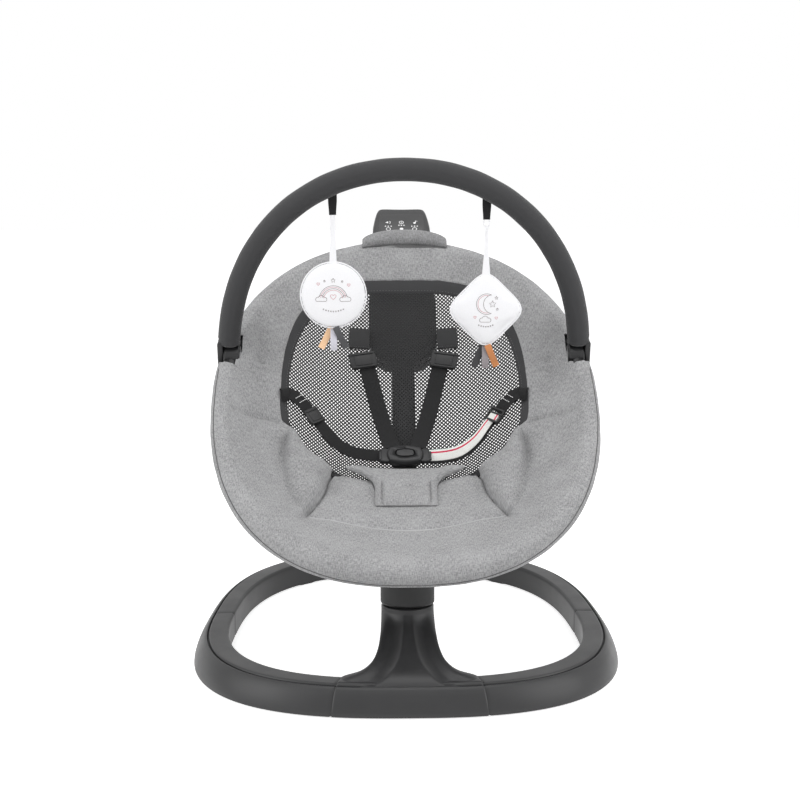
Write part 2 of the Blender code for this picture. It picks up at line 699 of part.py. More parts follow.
def build_control_head(seat):
    """Housing round the head tube, with the board and speaker behind its touch panel."""
    sections = [(0.6440, 0.0460, -0.0130, -0.0575), (0.6480, 0.0480, -0.0020, -0.0570),
                (0.6750, 0.0485, 0.0060, -0.0480), (0.7050, 0.0475, 0.0080, -0.0350),
                (0.7250, 0.0450, 0.0080, -0.0300), (0.7450, 0.0412, 0.0080, -0.0260),
                (0.7560, 0.0375, 0.0050, -0.0220)]
    rings = []
    for y, half, face, back in sections:
        edge = 0.004
        outline = [(-half + edge, face), (half - edge, face), (half, face - edge),
                   (half, back + edge), (half - edge, back), (-half + edge, back),
                   (-half, back + edge), (-half, face - edge)]
        rings.append([Vector((x, y, z)) for x, z in outline])
    housing = add_part("control_housing", loft(rings), CHARCOAL, 0.5, parent=seat)
    boolean(housing, add_cutter("head_tube_bore", tube(head_tube_path(), TUBE_RADIUS + GAP), seat))
    pocket = box((PANEL_WIDTH - 0.009, PANEL_LENGTH - 0.007, 0.050), (0, PANEL_Y, 0.0065))
    boolean(housing, add_cutter("board_pocket", pocket, seat))
    ledge = box((PANEL_WIDTH + 2 * GAP, PANEL_LENGTH + 2 * GAP, 0.010), (0, PANEL_Y, 0.0108))
    boolean(housing, add_cutter("panel_ledge", ledge, seat))
    panel = box((PANEL_WIDTH, PANEL_LENGTH, 0.0020), (0, PANEL_Y, 0.0071))
    add_part("touch_panel", panel, BLACK_PLASTIC, 0.12, parent=seat)
    board = box((PANEL_WIDTH - 0.014, PANEL_LENGTH - 0.012, 0.0016), (0, PANEL_Y, 0.0010))
    add_part("control_board", board, BOARD_GREEN, 0.4, parent=seat)
    cone = turned([(0, -0.0170), (0.008, -0.0170), (0.010, -0.0080), (0.014, -0.0040),
                   (0.014, -0.0025), (0, -0.0025)], 20)
    bmesh.ops.translate(cone, vec=(0, PANEL_Y, 0), verts=cone.verts)
    add_part("speaker", cone, BLACK_PLASTIC, 0.6, parent=seat)


def build_head_flap(seat):
    """Padded flap over the rim, where the control head clamps the tube."""
    rings = []
    count = 12
    for step in range(count + 1):
        x = mix(-FLAP_HALF_WIDTH, FLAP_HALF_WIDTH, step / count)
        puff = (1 - (abs(x) / (FLAP_HALF_WIDTH + 0.002)) ** 2.6) ** 0.42
        draw = 0.008 * (x / FLAP_HALF_WIDTH) ** 2
        depth = mix(0.55, 1.0, puff)
        ring = [(0.0, 0.0132), (-0.0010, 0.0145 + 0.004 * puff), (0.0050, 0.0150 + 0.011 * puff),
                (0.0170, 0.0150 + 0.014 * puff), (0.0300, 0.0145 + 0.010 * puff),
                (0.0370, 0.0138), (0.0365, 0.0128), (0.0240, 0.0132)]
        rings.append([Vector((x, 0.6520 - draw + y * depth, z)) for y, z in ring])
    add_part("head_flap", loft(rings), GREY_FABRIC, 0.95, parent=seat)


def bar_point(turn):
    """The toy bar's centre line in the plane of the bar: x across, z up from the pivot."""
    across = BAR_HALF_WIDTH * signed_power(math.cos(turn), 2 / BAR_FULLNESS)
    return Vector((across, 0, BAR_RISE * math.sin(turn) ** (2 / BAR_FULLNESS)))


def bar_path(foot, count=28):
    start = math.asin((foot / BAR_RISE) ** (BAR_FULLNESS / 2))
    return [bar_point(mix(math.pi - start, start, step / count)) for step in range(count + 1)]


def build_toy_bar(bar):
    """Inner tube, padded sleeve and the two end fittings that turn on the hub pins."""
    add_part("toy_bar_tube", tube(bar_path(0.0265), BAR_TUBE_RADIUS), STEEL, 0.3, 1.0, bar)
    sleeve = add_part("toy_bar_sleeve", tube(bar_path(SLEEVE_FOOT), SLEEVE_RADIUS, 3),
                      BLACK_FABRIC, 0.95, parent=bar)
    bore = tube(bar_path(SLEEVE_FOOT - 0.010), BAR_TUBE_RADIUS + 0.0006)
    boolean(sleeve, add_cutter("sleeve_bore", bore, bar))
    hub_x = rim_point(HUB_ANGLE, TUBE_INSET).x
    cheek_inner = hub_x + HUB_HALF_THICKNESS + GAP
    cup_top = SLEEVE_FOOT - 0.0022
    for side, name in ((1, "right"), (-1, "left")):
        cup = cylinder(0.0150, cup_top - CUP_FOOT, (side * BAR_HALF_WIDTH, 0, (cup_top + CUP_FOOT) / 2))
        fitting = add_part("toy_bar_end_" + name, cup, BLACK_PLASTIC, 0.5, parent=bar)
        cheek = box((0.0085, 0.026, 0.038), (side * (cheek_inner + 0.00425), 0, 0.0055), bevel=0.002)
        boolean(fitting, add_cutter("cheek_" + name, cheek, bar), "UNION")
        eye = cylinder(PIVOT_EYE_RADIUS, 0.030, (side * (cheek_inner + 0.004), 0, 0), "X", 24)
        boolean(fitting, add_cutter("pivot_eye_" + name, eye, bar))
        socket = tube(bar_path(0.0258), BAR_TUBE_RADIUS + 0.0006)
        boolean(fitting, add_cutter("bar_socket_" + name, socket, bar))


def bar_height(x):
    return BAR_RISE * (1 - (abs(x) / BAR_HALF_WIDTH) ** BAR_FULLNESS) ** (1 / BAR_FULLNESS)


def bar_slope(x):
    """Slope of the toy bar's centre line at a distance across."""
    steepness = (abs(x) / BAR_HALF_WIDTH * BAR_RISE / bar_height(x)) ** (BAR_FULLNESS - 1)
    return -math.copysign(steepness * BAR_RISE / BAR_HALF_WIDTH, x)


def bar_underside(x):
    """Height of the sleeve's underside over the pivot at a distance across."""
    return bar_height(x) - SLEEVE_RADIUS * math.hypot(1, bar_slope(x))


def cushion(outline, thickness, rows=5):
    """A flat pad with a crown: the outline drawn in towards both faces."""
    rings = []
    for row in range(rows + 1):
        turn = math.pi * (row + 0.5) / (rows + 1)
        share = 0.55 + 0.45 * math.sin(turn)
        depth = thickness / 2 * math.cos(turn)
        rings.append([Vector((x * share, depth, z * share)) for x, z in outline])
    return loft(rings)


def round_outline(radius, count=28):
    return [(radius * math.sin(2 * math.pi * i / count), radius * math.cos(2 * math.pi * i / count))
            for i in range(count)]


def diamond_outline(half, turn, count=32, fullness=4.0):
    """A square with rounded corners and slightly bowed sides, stood on a corner."""
    points = []
    for index in range(count):
        angle = 2 * math.pi * index / count
        x = half * signed_power(math.cos(angle), 2 / fullness)
        z = half * signed_power(math.sin(angle), 2 / fullness)
        points.append((x * math.cos(turn) - z * math.sin(turn), x * math.sin(turn) + z * math.cos(turn)))
    return points[::-1]


def build_toy(name, hook, centre_z, outline, top_reach):
    """Elastic, white strap, padded toy and ribbons, hung below the hook."""
    drop = centre_z - hook.location.z
    elastic_top = ELASTIC_THICKNESS / 2
    elastic_bottom = -0.026
    elastic = box((ELASTIC_WIDTH, ELASTIC_THICKNESS, elastic_top - elastic_bottom),
                  (0, 0, (elastic_top + elastic_bottom) / 2), bevel=0.0010)
    for vert in elastic.verts:
        if vert.co.z > elastic_bottom / 2:
            vert.co.z += vert.co.x * bar_slope(hook.location.x)
    add_part(name + "_elastic", elastic, BLACK_FABRIC, 0.9, parent=hook)
    toy_form = cushion(outline, TOY_THICKNESS)
    bmesh.ops.translate(toy_form, vec=(0, 0, drop), verts=toy_form.verts)
    toy = add_part(name + "_toy", toy_form, WHITE_FABRIC, 0.9, parent=hook)
    strap_top = elastic_bottom - GAP
    strap_bottom = drop + top_reach - 0.012
    strap = box((0.008, 0.0020, strap_top - strap_bottom), (0, 0, (strap_top + strap_bottom) / 2))
    boolean(toy, add_cutter(name + "_strap", strap, hook), "UNION")
    return drop


def build_ribbons(name, hook, top, spread):
    """Three ribbons in a fan, sewn together under the toy."""
    middle = box((RIBBON_WIDTH, 0.0014, RIBBON_LENGTH), (0, 0, top - RIBBON_LENGTH / 2))
    fan = add_part(name + "_ribbons", middle, PEACH, 0.9, parent=hook)
    for side, label in ((1, "right"), (-1, "left")):
        piece = box((RIBBON_WIDTH, 0.0010, RIBBON_LENGTH), (0, 0, -RIBBON_LENGTH / 2))
        bmesh.ops.rotate(piece, matrix=Matrix.Rotation(-side * spread, 3, "Y"), verts=piece.verts)
        bmesh.ops.translate(piece, vec=(side * 0.003, 0, top - 0.001), verts=piece.verts)
        boolean(fan, add_cutter(name + "_ribbon_" + label, piece, hook), "UNION")


def build_toys(bar_place):
    lean = Matrix.Rotation(BAR_LEAN, 3, "X")
    places = {}
    for name, x in (("left", LEFT_TOY_X), ("right", RIGHT_TOY_X)):
        hanging = lean @ Vector((x, 0, bar_underside(x) - HOOK_DROP))
        places[name] = bar_place + hanging
    left = add_empty("left_toy_hook", places["left"])
    right = add_empty("right_toy_hook", places["right"])
    drop = build_toy("left", left, LEFT_TOY_HEIGHT, round_outline(TOY_RADIUS), TOY_RADIUS)
    build_ribbons("left", left, drop - TOY_RADIUS - GAP, 0.42)
    diamond = diamond_outline(DIAMOND_HALF, math.radians(45))
    reach = max(z for x, z in diamond)
    drop = build_toy("right", right, RIGHT_TOY_HEIGHT, diamond, reach)
    build_ribbons("right", right, drop - reach - GAP, 0.36)


def on_seat(x, y, lift):
    """A point over the bowl, in the seat's own axes."""
    return Vector((x, y, bowl(x, y) + lift))


def seat_strip(name, places, width, lift, seat, color=BLACK_FABRIC, thickness=WEBBING_THICKNESS):
    points = [on_seat(x, y, lift if len(rest) == 0 else rest[0]) for x, y, *rest in places]
    rings = []
    for index, point in enumerate(points):
        before = points[max(index - 1, 0)]
        after = points[min(index + 1, len(points) - 1)]
        along = (after - before).normalized()
        across = along.cross(Vector((0, 0, 1))).normalized() * width / 2
        normal = across.cross(along).normalized() * thickness / 2
        rings.append([point - across - normal, point + across - normal,
                      point + across + normal, point - across + normal])
    return add_part(name, loft(rings), color, 0.9, parent=seat)


def flat_piece(name, size, place, turn, lift, seat, color, bevel=0.0015, rough=0.6):
    """A small block lying on the bowl, turned about its normal."""
    slope = 0.004
    x, y = place
    dx = (bowl(x + slope, y) - bowl(x - slope, y)) / (2 * slope)
    dy = (bowl(x, y + slope) - bowl(x, y - slope)) / (2 * slope)
    normal = Vector((-dx, -dy, 1)).normalized()
    tilt = Vector((0, 0, 1)).rotation_difference(normal).to_matrix()
    rotation = tilt @ Matrix.Rotation(turn, 3, "Z")
    bm = box(size, on_seat(x, y, 0) + normal * lift, rotation, bevel, 1)
    return add_part(name, bm, color, rough, parent=seat)


def build_harness(seat):
    """Five-point harness: shoulder and waist straps meet at a buckle over the crotch pad."""
    for side, name in ((1, "right"), (-1, "left")):
        shoulder = [(side * 0.060, 0.4560, 0.006), (side * 0.053, 0.420), (side * 0.043, 0.380),
                    (side * 0.033, 0.345), (side * 0.0262, 0.315), (side * 0.0225, 0.3010)]
        seat_strip("shoulder_strap_" + name, shoulder, WEBBING_WIDTH, 0.0085, seat)
        flat_piece("shoulder_keeper_" + name, (0.030, 0.026, 0.004), (side * 0.069, 0.509),
                   0, 0.0045, seat, BLACK_FABRIC, 0.001, 0.95)
        flat_piece("shoulder_adjuster_" + name, (0.034, 0.030, 0.007), (side * 0.0635, 0.474),
                   side * -0.25, 0.0065, seat, BLACK_PLASTIC)
        waist = [(side * 0.1240, 0.3230, 0.012), (side * 0.105, 0.302), (side * 0.085, 0.290),
                 (side * 0.062, 0.283), (side * 0.0450, BUCKLE_Y)]
        seat_strip("waist_strap_" + name, waist, 0.018, 0.012, seat)
        flat_piece("waist_adjuster_" + name, (0.022, 0.032, 0.006), (side * 0.139, 0.3450),
                   side * -0.62, 0.011, seat, BLACK_PLASTIC)
        flat_piece("waist_loop_" + name, (0.030, 0.022, 0.005), (side * 0.164, 0.3800),
                   side * -0.5, 0.0055, seat, BLACK_FABRIC, 0.001, 0.95)
        flat_piece("buckle_tongue_" + name, (0.0140, 0.026, 0.007), (side * 0.0368, BUCKLE_Y),
                   0, 0.0145, seat, BLACK_PLASTIC)
    body = flat_piece("buckle_body", (0.056, 0.036, 0.0135), (0, BUCKLE_Y), 0, 0.0145, seat,
                      BLACK_PLASTIC, 0.004)
    return body


def build_crotch(seat):
    """Padded flap from the seat to the buckle, quilted by a stitched line along each side."""
    rows = [(0.1680, 0.0420, 0.003), (0.1760, 0.0425, 0.009), (0.1900, 0.0425, 0.012),
            (0.2080, 0.0425, 0.013), (0.2260, 0.0445, 0.014), (0.2410, 0.0520, 0.014),
            (0.2510, 0.0600, 0.013), (0.2585, 0.0625, 0.010)]
    across = (-1, -0.9, -0.78, -0.66, -0.35, 0, 0.35, 0.66, 0.78, 0.9, 1)
    rings = []
    for y, half, puff in rows:
        crown = []
        for share in across:
            stitch = 0.32 * math.exp(-((abs(share) - 0.78) / 0.07) ** 2)
            swell = puff * max(0.0, 1 - share ** 6 - stitch) * 0.7
            crown.append(on_seat(half * share, y, 0.0030 + swell))
        base = [on_seat(half * share, y, 0.0008) for share in across[::-2]]
        rings.append(crown + base)
    add_part("crotch_pad", loft(rings), GREY_FABRIC, 0.95, parent=seat)


def build_buckle_button(seat, body):
    """Release button in a recess of the buckle; it travels into the body."""
    x, y = 0.0, BUCKLE_Y
    slope = 0.004
    dy = (bowl(x, y + slope) - bowl(x, y - slope)) / (2 * slope)
    normal = Vector((0, -dy, 1)).normalized()
    tilt = Vector((0, 0, 1)).rotation_difference(normal).to_matrix()
    face = on_seat(x, y, 0) + normal * 0.02125
    recess = box((0.0186, 0.0166, 0.012), face, tilt)
    boolean(body, add_cutter("button_recess", recess, seat))
    button = box((0.0178, 0.0158, 0.0035), face + normal * -0.0008, tilt, 0.001, 1)
    add_part("buckle_button", button, BLACK_PLASTIC, 0.45, parent=seat)


def main():
    clear_scene()
    start_collection("baby_swing")
    start_collection("cutters")
    start_collection("guides")
    housing = build_base()
    build_feet()
    build_power_socket(housing)
    axis = add_empty("swing_axis", SWING_AXIS_FOOT, (-SWING_AXIS_LEAN, 0, 0))
    build_column_works(housing, axis)
    seat = add_empty("seat_rim_plane", RIM_FRONT, (RECLINE, 0, 0))
    build_spine(seat, axis)
    build_front_bracket(seat)
    build_control_head(seat)
    build_frame(seat)
    build_cover(seat)
    build_binding(seat)
    build_mesh_panel(seat)
    build_head_flap(seat)
    build_crotch(seat)
    body = build_harness(seat)
    build_buckle_button(seat, body)
    hub = rim_point(HUB_ANGLE, TUBE_INSET) + Vector((0, 0, -TUBE_DROP))
    pivot = RIM_FRONT + Matrix.Rotation(RECLINE, 3, "X") @ Vector((0, hub.y, hub.z))
    bar = add_empty("toy_bar_pivot", pivot, (BAR_LEAN, 0, 0))
    build_toy_bar(bar)
    build_toys(pivot)


main()
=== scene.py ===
"""Electric baby swing in full dress: padded cover, open net, webbing, plastics and a studio.

Metres, +Z up, in the same frame as the solids. The seat is modelled in the plane of its rim
(x across, y from the front edge to the head, z out of the bowl), the toy bar about its pivot axis,
the collar about the swing axis and each toy below its hook.
"""
import math

import bmesh
import bpy
from mathutils import Matrix, Vector, noise
from mathutils.bvhtree import BVHTree


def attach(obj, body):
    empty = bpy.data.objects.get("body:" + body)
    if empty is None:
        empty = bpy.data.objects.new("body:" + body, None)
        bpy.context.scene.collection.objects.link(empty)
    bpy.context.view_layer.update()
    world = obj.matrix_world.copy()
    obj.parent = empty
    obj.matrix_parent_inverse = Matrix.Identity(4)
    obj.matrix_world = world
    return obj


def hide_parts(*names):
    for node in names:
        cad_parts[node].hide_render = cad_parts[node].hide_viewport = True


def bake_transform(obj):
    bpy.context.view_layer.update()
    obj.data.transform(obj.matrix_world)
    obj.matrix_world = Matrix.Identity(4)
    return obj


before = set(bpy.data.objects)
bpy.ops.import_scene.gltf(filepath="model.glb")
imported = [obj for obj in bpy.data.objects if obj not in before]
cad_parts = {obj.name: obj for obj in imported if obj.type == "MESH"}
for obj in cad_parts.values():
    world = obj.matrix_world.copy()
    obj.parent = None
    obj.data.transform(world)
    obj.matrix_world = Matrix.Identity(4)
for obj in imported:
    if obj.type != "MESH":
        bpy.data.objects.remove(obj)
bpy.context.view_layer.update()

bl_info = {
    "name": "Baby Swing Seat",
    "version": (1, 0, 0),
    "blender": (4, 5, 0),
    "location": "3D View > Sidebar > Baby Swing",
    "description": "Builds the cloth, net, webbing and plastics of an electric baby swing",
    "category": "Object",
}

RING_HALF_WIDTH = 0.3045
RING_HALF_LENGTH = 0.330
RING_FULLNESS = 2.65
RING_TAPER = 0.08
RING_BOTTOM = 0.0023
HOUSING_HALF_WIDTH = 0.093
SIDE_SEAM_Y = -0.02

SWING_FOOT = Vector((0, -0.17, 0.10))
SWING_LEAN = math.radians(5)
COLLAR_RADIUS = 0.0375
COLLAR_BOTTOM = 0.0045
COLLAR_TOP = 0.0480

RECLINE = math.radians(36.7)
RIM_FRONT = Vector((0, -0.29, 0.172))
RIM_LENGTH = 0.676
RIM_HALF_WIDTH = 0.281
RIM_CENTRE = 0.337
FRONT_FULLNESS = 2.45
HEAD_FULLNESS = 2.15
BOWL_DEPTH = 0.058
HIP_DEPTH = 0.034
HIP_PLACE = 0.29
HIP_SPREAD = 0.13
BOWL_POWER = 2.2
BOWL_EDGE = 0.93
ROLL_RADIUS = 0.0165
ROLL_LIFT = 0.0125
TUBE_INSET = 0.0165
TUBE_DROP = 0.004
SLEEVE_CLEARANCE = 0.0132
PAD_THICKNESS = 0.014
BOLSTER_TOP = 1.31
BOLSTER_PUFF = 0.011
# Each course gives a place on the seat against an angle round it, or against the share of the way
# from the mesh opening to the rim.
SEAM_COURSE = [(0.0, 0.568), (0.14, 0.562), (0.28, 0.553), (0.42, 0.562), (0.55, 0.605),
               (0.64, 0.605), (0.72, 0.560), (0.81, 0.510), (0.95, 0.385), (1.10, 0.260),
               (1.22, 0.140), (1.31, 0.020)]
CREASE_COURSE = [(0.0, 0.725), (0.12, 0.700), (0.25, 0.640), (0.40, 0.605), (0.62, 0.590),
                 (0.80, 0.580)]
SIDE_SEAM_COURSE = [(0.0, 1.335), (0.10, 1.352), (0.27, 1.390), (0.65, 1.415), (1.0, 1.430)]
OVERLAP_COURSE = [(0.60, 0.0), (0.72, 0.0030), (0.86, 0.0040), (1.00, 0.0040), (1.10, 0.0075),
                  (1.19, 0.0100), (1.27, 0.0080), (1.345, 0.0)]
BINDING_COURSE = [(0.0, 0.0006), (0.50, 0.0006), (0.62, 0.0026), (0.72, 0.0036), (0.84, 0.0010),
                  (1.16, 0.0010), (1.33, 0.0080), (1.60, 0.0085), (2.00, 0.0105), (2.45, 0.0150),
                  (2.80, 0.0180), (3.1416, 0.0190)]

OPENING_CENTRE = 0.370
OPENING_HALF_WIDTH = 0.184
OPENING_HEAD = 0.231
OPENING_SEAT = 0.136
OPENING_HEAD_FULLNESS = 2.8
OPENING_SEAT_FULLNESS = 2.4

HUB_ANGLE = math.radians(107.6)
PANEL_Y = 0.7125
PADDLE_START = 0.474
PADDLE_CORNER = 0.042
SPINE_FOOT_HEIGHT = 0.030
FLAP_HALF_WIDTH = 0.068
FLAP_Y = 0.6555
BUCKLE_Y = 0.2795

BAR_LEAN = math.radians(12)
BAR_HALF_WIDTH = 0.262
BAR_RISE = 0.282
BAR_FULLNESS = 2.1
SLEEVE_RADIUS = 0.0175
SLEEVE_END = 0.0180
HOOK_DROP = 0.0036
TOYS = {"left": {"x": -0.104, "height": 0.5156, "reach": 0.0495},
        "right": {"x": 0.118, "height": 0.4937, "reach": 0.0545}}
DISC_RADIUS = 0.0476
DIAMOND_HALF = 0.0424
ELASTIC_FOOT = -0.0225

SEAT = Matrix.Translation(RIM_FRONT) @ Matrix.Rotation(RECLINE, 4, "X")
AXIS = Matrix.Translation(SWING_FOOT) @ Matrix.Rotation(-SWING_LEAN, 4, "X")
UP = Vector((0, 0, 1))
FORWARD = Vector((0, -1, 0))


def mix(start, end, share):
    return start + (end - start) * share


def spaced(start, end, count):
    """Values from start to end at the ends of count equal steps."""
    return [mix(start, end, step / count) for step in range(count + 1)]


def shift(x, y, z):
    return Matrix.Translation((x, y, z))


def smooth(value):
    value = min(max(value, 0.0), 1.0)
    return value * value * (3 - 2 * value)


def bell(value, width):
    return math.exp(-(value / width) ** 2)


def signed_power(value, power):
    return math.copysign(abs(value) ** power, value)


def follow(table, place):
    """Smooth values of a table of (place, value, ...) rows at a place."""
    index = 0
    while index < len(table) - 2 and place > table[index + 1][0]:
        index += 1
    start, end = table[index], table[index + 1]
    before, after = table[max(index - 1, 0)], table[min(index + 2, len(table) - 1)]
    span = end[0] - start[0]
    share = min(max((place - start[0]) / span, 0.0), 1.0)
    values = []
    for column in range(1, len(start)):
        leave = (end[column] - before[column]) / (end[0] - before[0]) * span
        arrive = (after[column] - start[column]) / (after[0] - start[0]) * span
        rise = end[column] - start[column]
        values.append(start[column] + share * (leave + share * (
            3 * rise - 2 * leave - arrive + share * (leave + arrive - 2 * rise))))
    return values[0] if len(values) == 1 else values


def curve_through(points, per_step=8):
    """Points on a smooth curve through the given ones."""
    table = [(index, *point) for index, point in enumerate(points)]
    count = (len(points) - 1) * per_step
    return [Vector(follow(table, step / per_step)) for step in range(count + 1)]


def outline_point(angle, half_width, centre, front, head, front_fullness, head_fullness):
    """A rounded outline seen from its centre: angle 0 is its front end and pi its head end."""
    ahead = math.cos(angle) > 0
    fullness = front_fullness if ahead else head_fullness
    across = abs(math.sin(angle) / half_width) ** fullness
    along = abs(math.cos(angle) / (front if ahead else head)) ** fullness
    reach = (across + along) ** (-1 / fullness)
    return Vector((reach * math.sin(angle), centre - reach * math.cos(angle), 0))


def rim_point(angle, inset=0.0):
    half_length = RIM_LENGTH / 2 - inset
    return outline_point(angle, RIM_HALF_WIDTH - inset, RIM_CENTRE, half_length, half_length,
                         FRONT_FULLNESS, HEAD_FULLNESS)


def tube_centre(angle):
    """The middle of the frame tube inside the rim."""
    return rim_point(angle, TUBE_INSET) - UP * TUBE_DROP


def rim_outward(angle):
    ahead = rim_point(angle + 0.01, TUBE_INSET) - rim_point(angle - 0.01, TUBE_INSET)
    return Vector((ahead.y, -ahead.x, 0)).normalized()


def opening_point(angle, inset=0.0):
    return outline_point(angle, OPENING_HALF_WIDTH - inset, OPENING_CENTRE, OPENING_SEAT - inset,
                         OPENING_HEAD - inset, OPENING_SEAT_FULLNESS, OPENING_HEAD_FULLNESS)


def in_opening(x, y, inset):
    """How far out a point of the seat lies in the mesh opening; 1 is its edge."""
    ahead = y < OPENING_CENTRE
    fullness = OPENING_SEAT_FULLNESS if ahead else OPENING_HEAD_FULLNESS
    reach = (OPENING_SEAT if ahead else OPENING_HEAD) - inset
    across = abs(x / (OPENING_HALF_WIDTH - inset)) ** fullness
    return (across + abs((y - OPENING_CENTRE) / reach) ** fullness) ** (1 / fullness)


def rim_share(x, y):
    """0 at the middle of the seat and 1 on its rim."""
    fullness = FRONT_FULLNESS if y < RIM_CENTRE else HEAD_FULLNESS
    across = abs(x / RIM_HALF_WIDTH) ** fullness
    return (across + abs((y - RIM_CENTRE) / (RIM_LENGTH / 2)) ** fullness) ** (1 / fullness)


def roll_crest(x, y):
    """Rise of the seat towards its rolled rim."""
    return ROLL_LIFT * smooth((rim_share(x, y) / BOWL_EDGE - 0.76) / 0.24)


def bowl(x, y):
    """Height of the seat's upper surface over the plane of its rim."""
    share = min(rim_share(x, y) / BOWL_EDGE, 1.0)
    depth = BOWL_DEPTH + HIP_DEPTH * bell(y - HIP_PLACE, HIP_SPREAD)
    return roll_crest(x, y) - depth * (1 - share ** BOWL_POWER)


def bowl_normal(x, y, reach=0.004):
    across = (bowl(x + reach, y) - bowl(x - reach, y)) / (2 * reach)
    along = (bowl(x, y + reach) - bowl(x, y - reach)) / (2 * reach)
    return Vector((-across, -along, 1)).normalized()


def on_seat(x, y, lift=0.0):
    return Vector((x, y, bowl(x, y) + lift))


def binding_inset(angle):
    """Width of the binding in sight round the mesh: wide at the head, tucked under the bolsters."""
    return follow(BINDING_COURSE, abs(angle))


def bar_point(turn):
    """The toy bar's centre line in the plane of the bar: x across, z up from the pivot."""
    across = BAR_HALF_WIDTH * signed_power(math.cos(turn), 2 / BAR_FULLNESS)
    return Vector((across, 0, BAR_RISE * math.sin(turn) ** (2 / BAR_FULLNESS)))


def bar_height(x):
    return BAR_RISE * (1 - (abs(x) / BAR_HALF_WIDTH) ** BAR_FULLNESS) ** (1 / BAR_FULLNESS)


def bar_slope(x):
    steepness = (abs(x) / BAR_HALF_WIDTH * BAR_RISE / bar_height(x)) ** (BAR_FULLNESS - 1)
    return -math.copysign(steepness * BAR_RISE / BAR_HALF_WIDTH, x)


def bar_place():
    """The toy bar's own axes: its pivot at the hubs, leaning towards the head."""
    hub = tube_centre(HUB_ANGLE)
    pivot = SEAT @ Vector((0, hub.y, hub.z))
    return Matrix.Translation(pivot) @ Matrix.Rotation(BAR_LEAN, 4, "X")


def hook_place(side):
    """Where a toy hangs from the bar's underside."""
    x = TOYS[side]["x"]
    underside = bar_height(x) - SLEEVE_RADIUS * math.hypot(1, bar_slope(x))
    return bar_place() @ Vector((x, 0, underside - HOOK_DROP))


def ring_outline(angle, inset, height):
    """A point of the base ring; angle 0 is the front and pi the rear."""
    half_length = RING_HALF_LENGTH - inset
    point = outline_point(angle, RING_HALF_WIDTH - inset, 0, half_length, half_length,
                          RING_FULLNESS, RING_FULLNESS)
    return Vector((point.x * (1 - RING_TAPER * point.y / half_length), point.y, height))


def ring_angle(test, low, high):
    """The angle between low and high where the test value of the ring's middle crosses zero."""
    for _ in range(40):
        middle = (low + high) / 2
        if test(ring_outline(middle, 0.030, 0)) < 0:
            low = middle
        else:
            high = middle
    return middle


def length_property(label, description, default):
    return bpy.props.FloatProperty(name=label, description=description, unit="LENGTH",
                                   precision=5, min=0.0002, default=default)


class SwingSizes(bpy.types.PropertyGroup):
    """Sizes a user may change."""
    net_width: length_property("Net cell width", "Width of one diamond of the net", 0.0060)
    net_length: length_property("Net cell length", "Length of one diamond of the net", 0.0064)
    net_strand: length_property("Net strand", "Width of a strand of the net", 0.0028)
    weave: length_property("Weave pitch", "Distance between threads of the grey cloth", 0.0011)
    stitch: length_property("Stitch length", "Length of a sewn stitch", 0.0032)
    webbing: length_property("Webbing width", "Width of the shoulder straps", 0.025)
    waist_webbing: length_property("Waist webbing width", "Width of the waist straps", 0.0175)


def colour_property(label, description, default):
    return bpy.props.FloatVectorProperty(name=label, description=description, subtype="COLOR",
                                         size=3, min=0.0, max=1.0, default=default)


class SwingColours(bpy.types.PropertyGroup):
    """Colours a user may change."""
    grey_cloth: colour_property("Grey cloth", "Heathered cloth of the cover", (0.375, 0.375, 0.38))
    black_cloth: colour_property("Black cloth", "Binding, sleeve and patches",
                                 (0.040, 0.040, 0.042))
    net: colour_property("Net", "Strands of the net", (0.022, 0.022, 0.023))
    webbing: colour_property("Webbing", "Harness webbing", (0.013, 0.013, 0.0135))
    charcoal: colour_property("Charcoal plastic", "Base, column and control head",
                              (0.027, 0.027, 0.028))
    black_plastic: colour_property("Black plastic", "Buckle, adjusters and fittings",
                                   (0.016, 0.016, 0.017))
    white_cloth: colour_property("White cloth", "Hanging toys", (0.93, 0.93, 0.95))
    stripe: colour_property("Red stripe", "Stripe woven in the right waist strap",
                            (0.58, 0.02, 0.07))


def sizes():
    return bpy.context.scene.swing_sizes


def colours():
    return bpy.context.scene.swing_colours


class Shade:
    """A value in a material's nodes; sums and products of it add Math nodes."""

    def __init__(self, finish, socket):
        self.finish = finish
        self.socket = socket

    def math(self, operation, *values):
        return self.finish.node("ShaderNodeMath", {"operation": operation}, dict(enumerate(values)))

    def __add__(self, other):
        return self.math("ADD", self, other)

    __radd__ = __add__

    def __sub__(self, other):
        return self.math("SUBTRACT", self, other)

    def __rsub__(self, other):
        return self.math("SUBTRACT", other, self)

    def __mul__(self, other):
        return self.math("MULTIPLY", self, other)

    __rmul__ = __mul__

    def sine(self):
        return self.math("SINE", self)

    def wave(self, pitch):
        """A sine that repeats at every pitch, in metres."""
        return (self * (2 * math.pi / pitch)).sine()

    def above(self, limit):
        return self.math("GREATER_THAN", self, limit)

    def below(self, limit):
        return self.math("LESS_THAN", self, limit)

    def size(self):
        return self.math("ABSOLUTE", self)

    def spread(self, low, high, start=0.0, end=1.0):
        """The value carried from the range low to high onto start to end, and clamped."""
        return self.finish.node("ShaderNodeMapRange", {"clamp": True},
                                {0: self, 1: low, 2: high, 3: start, 4: end})


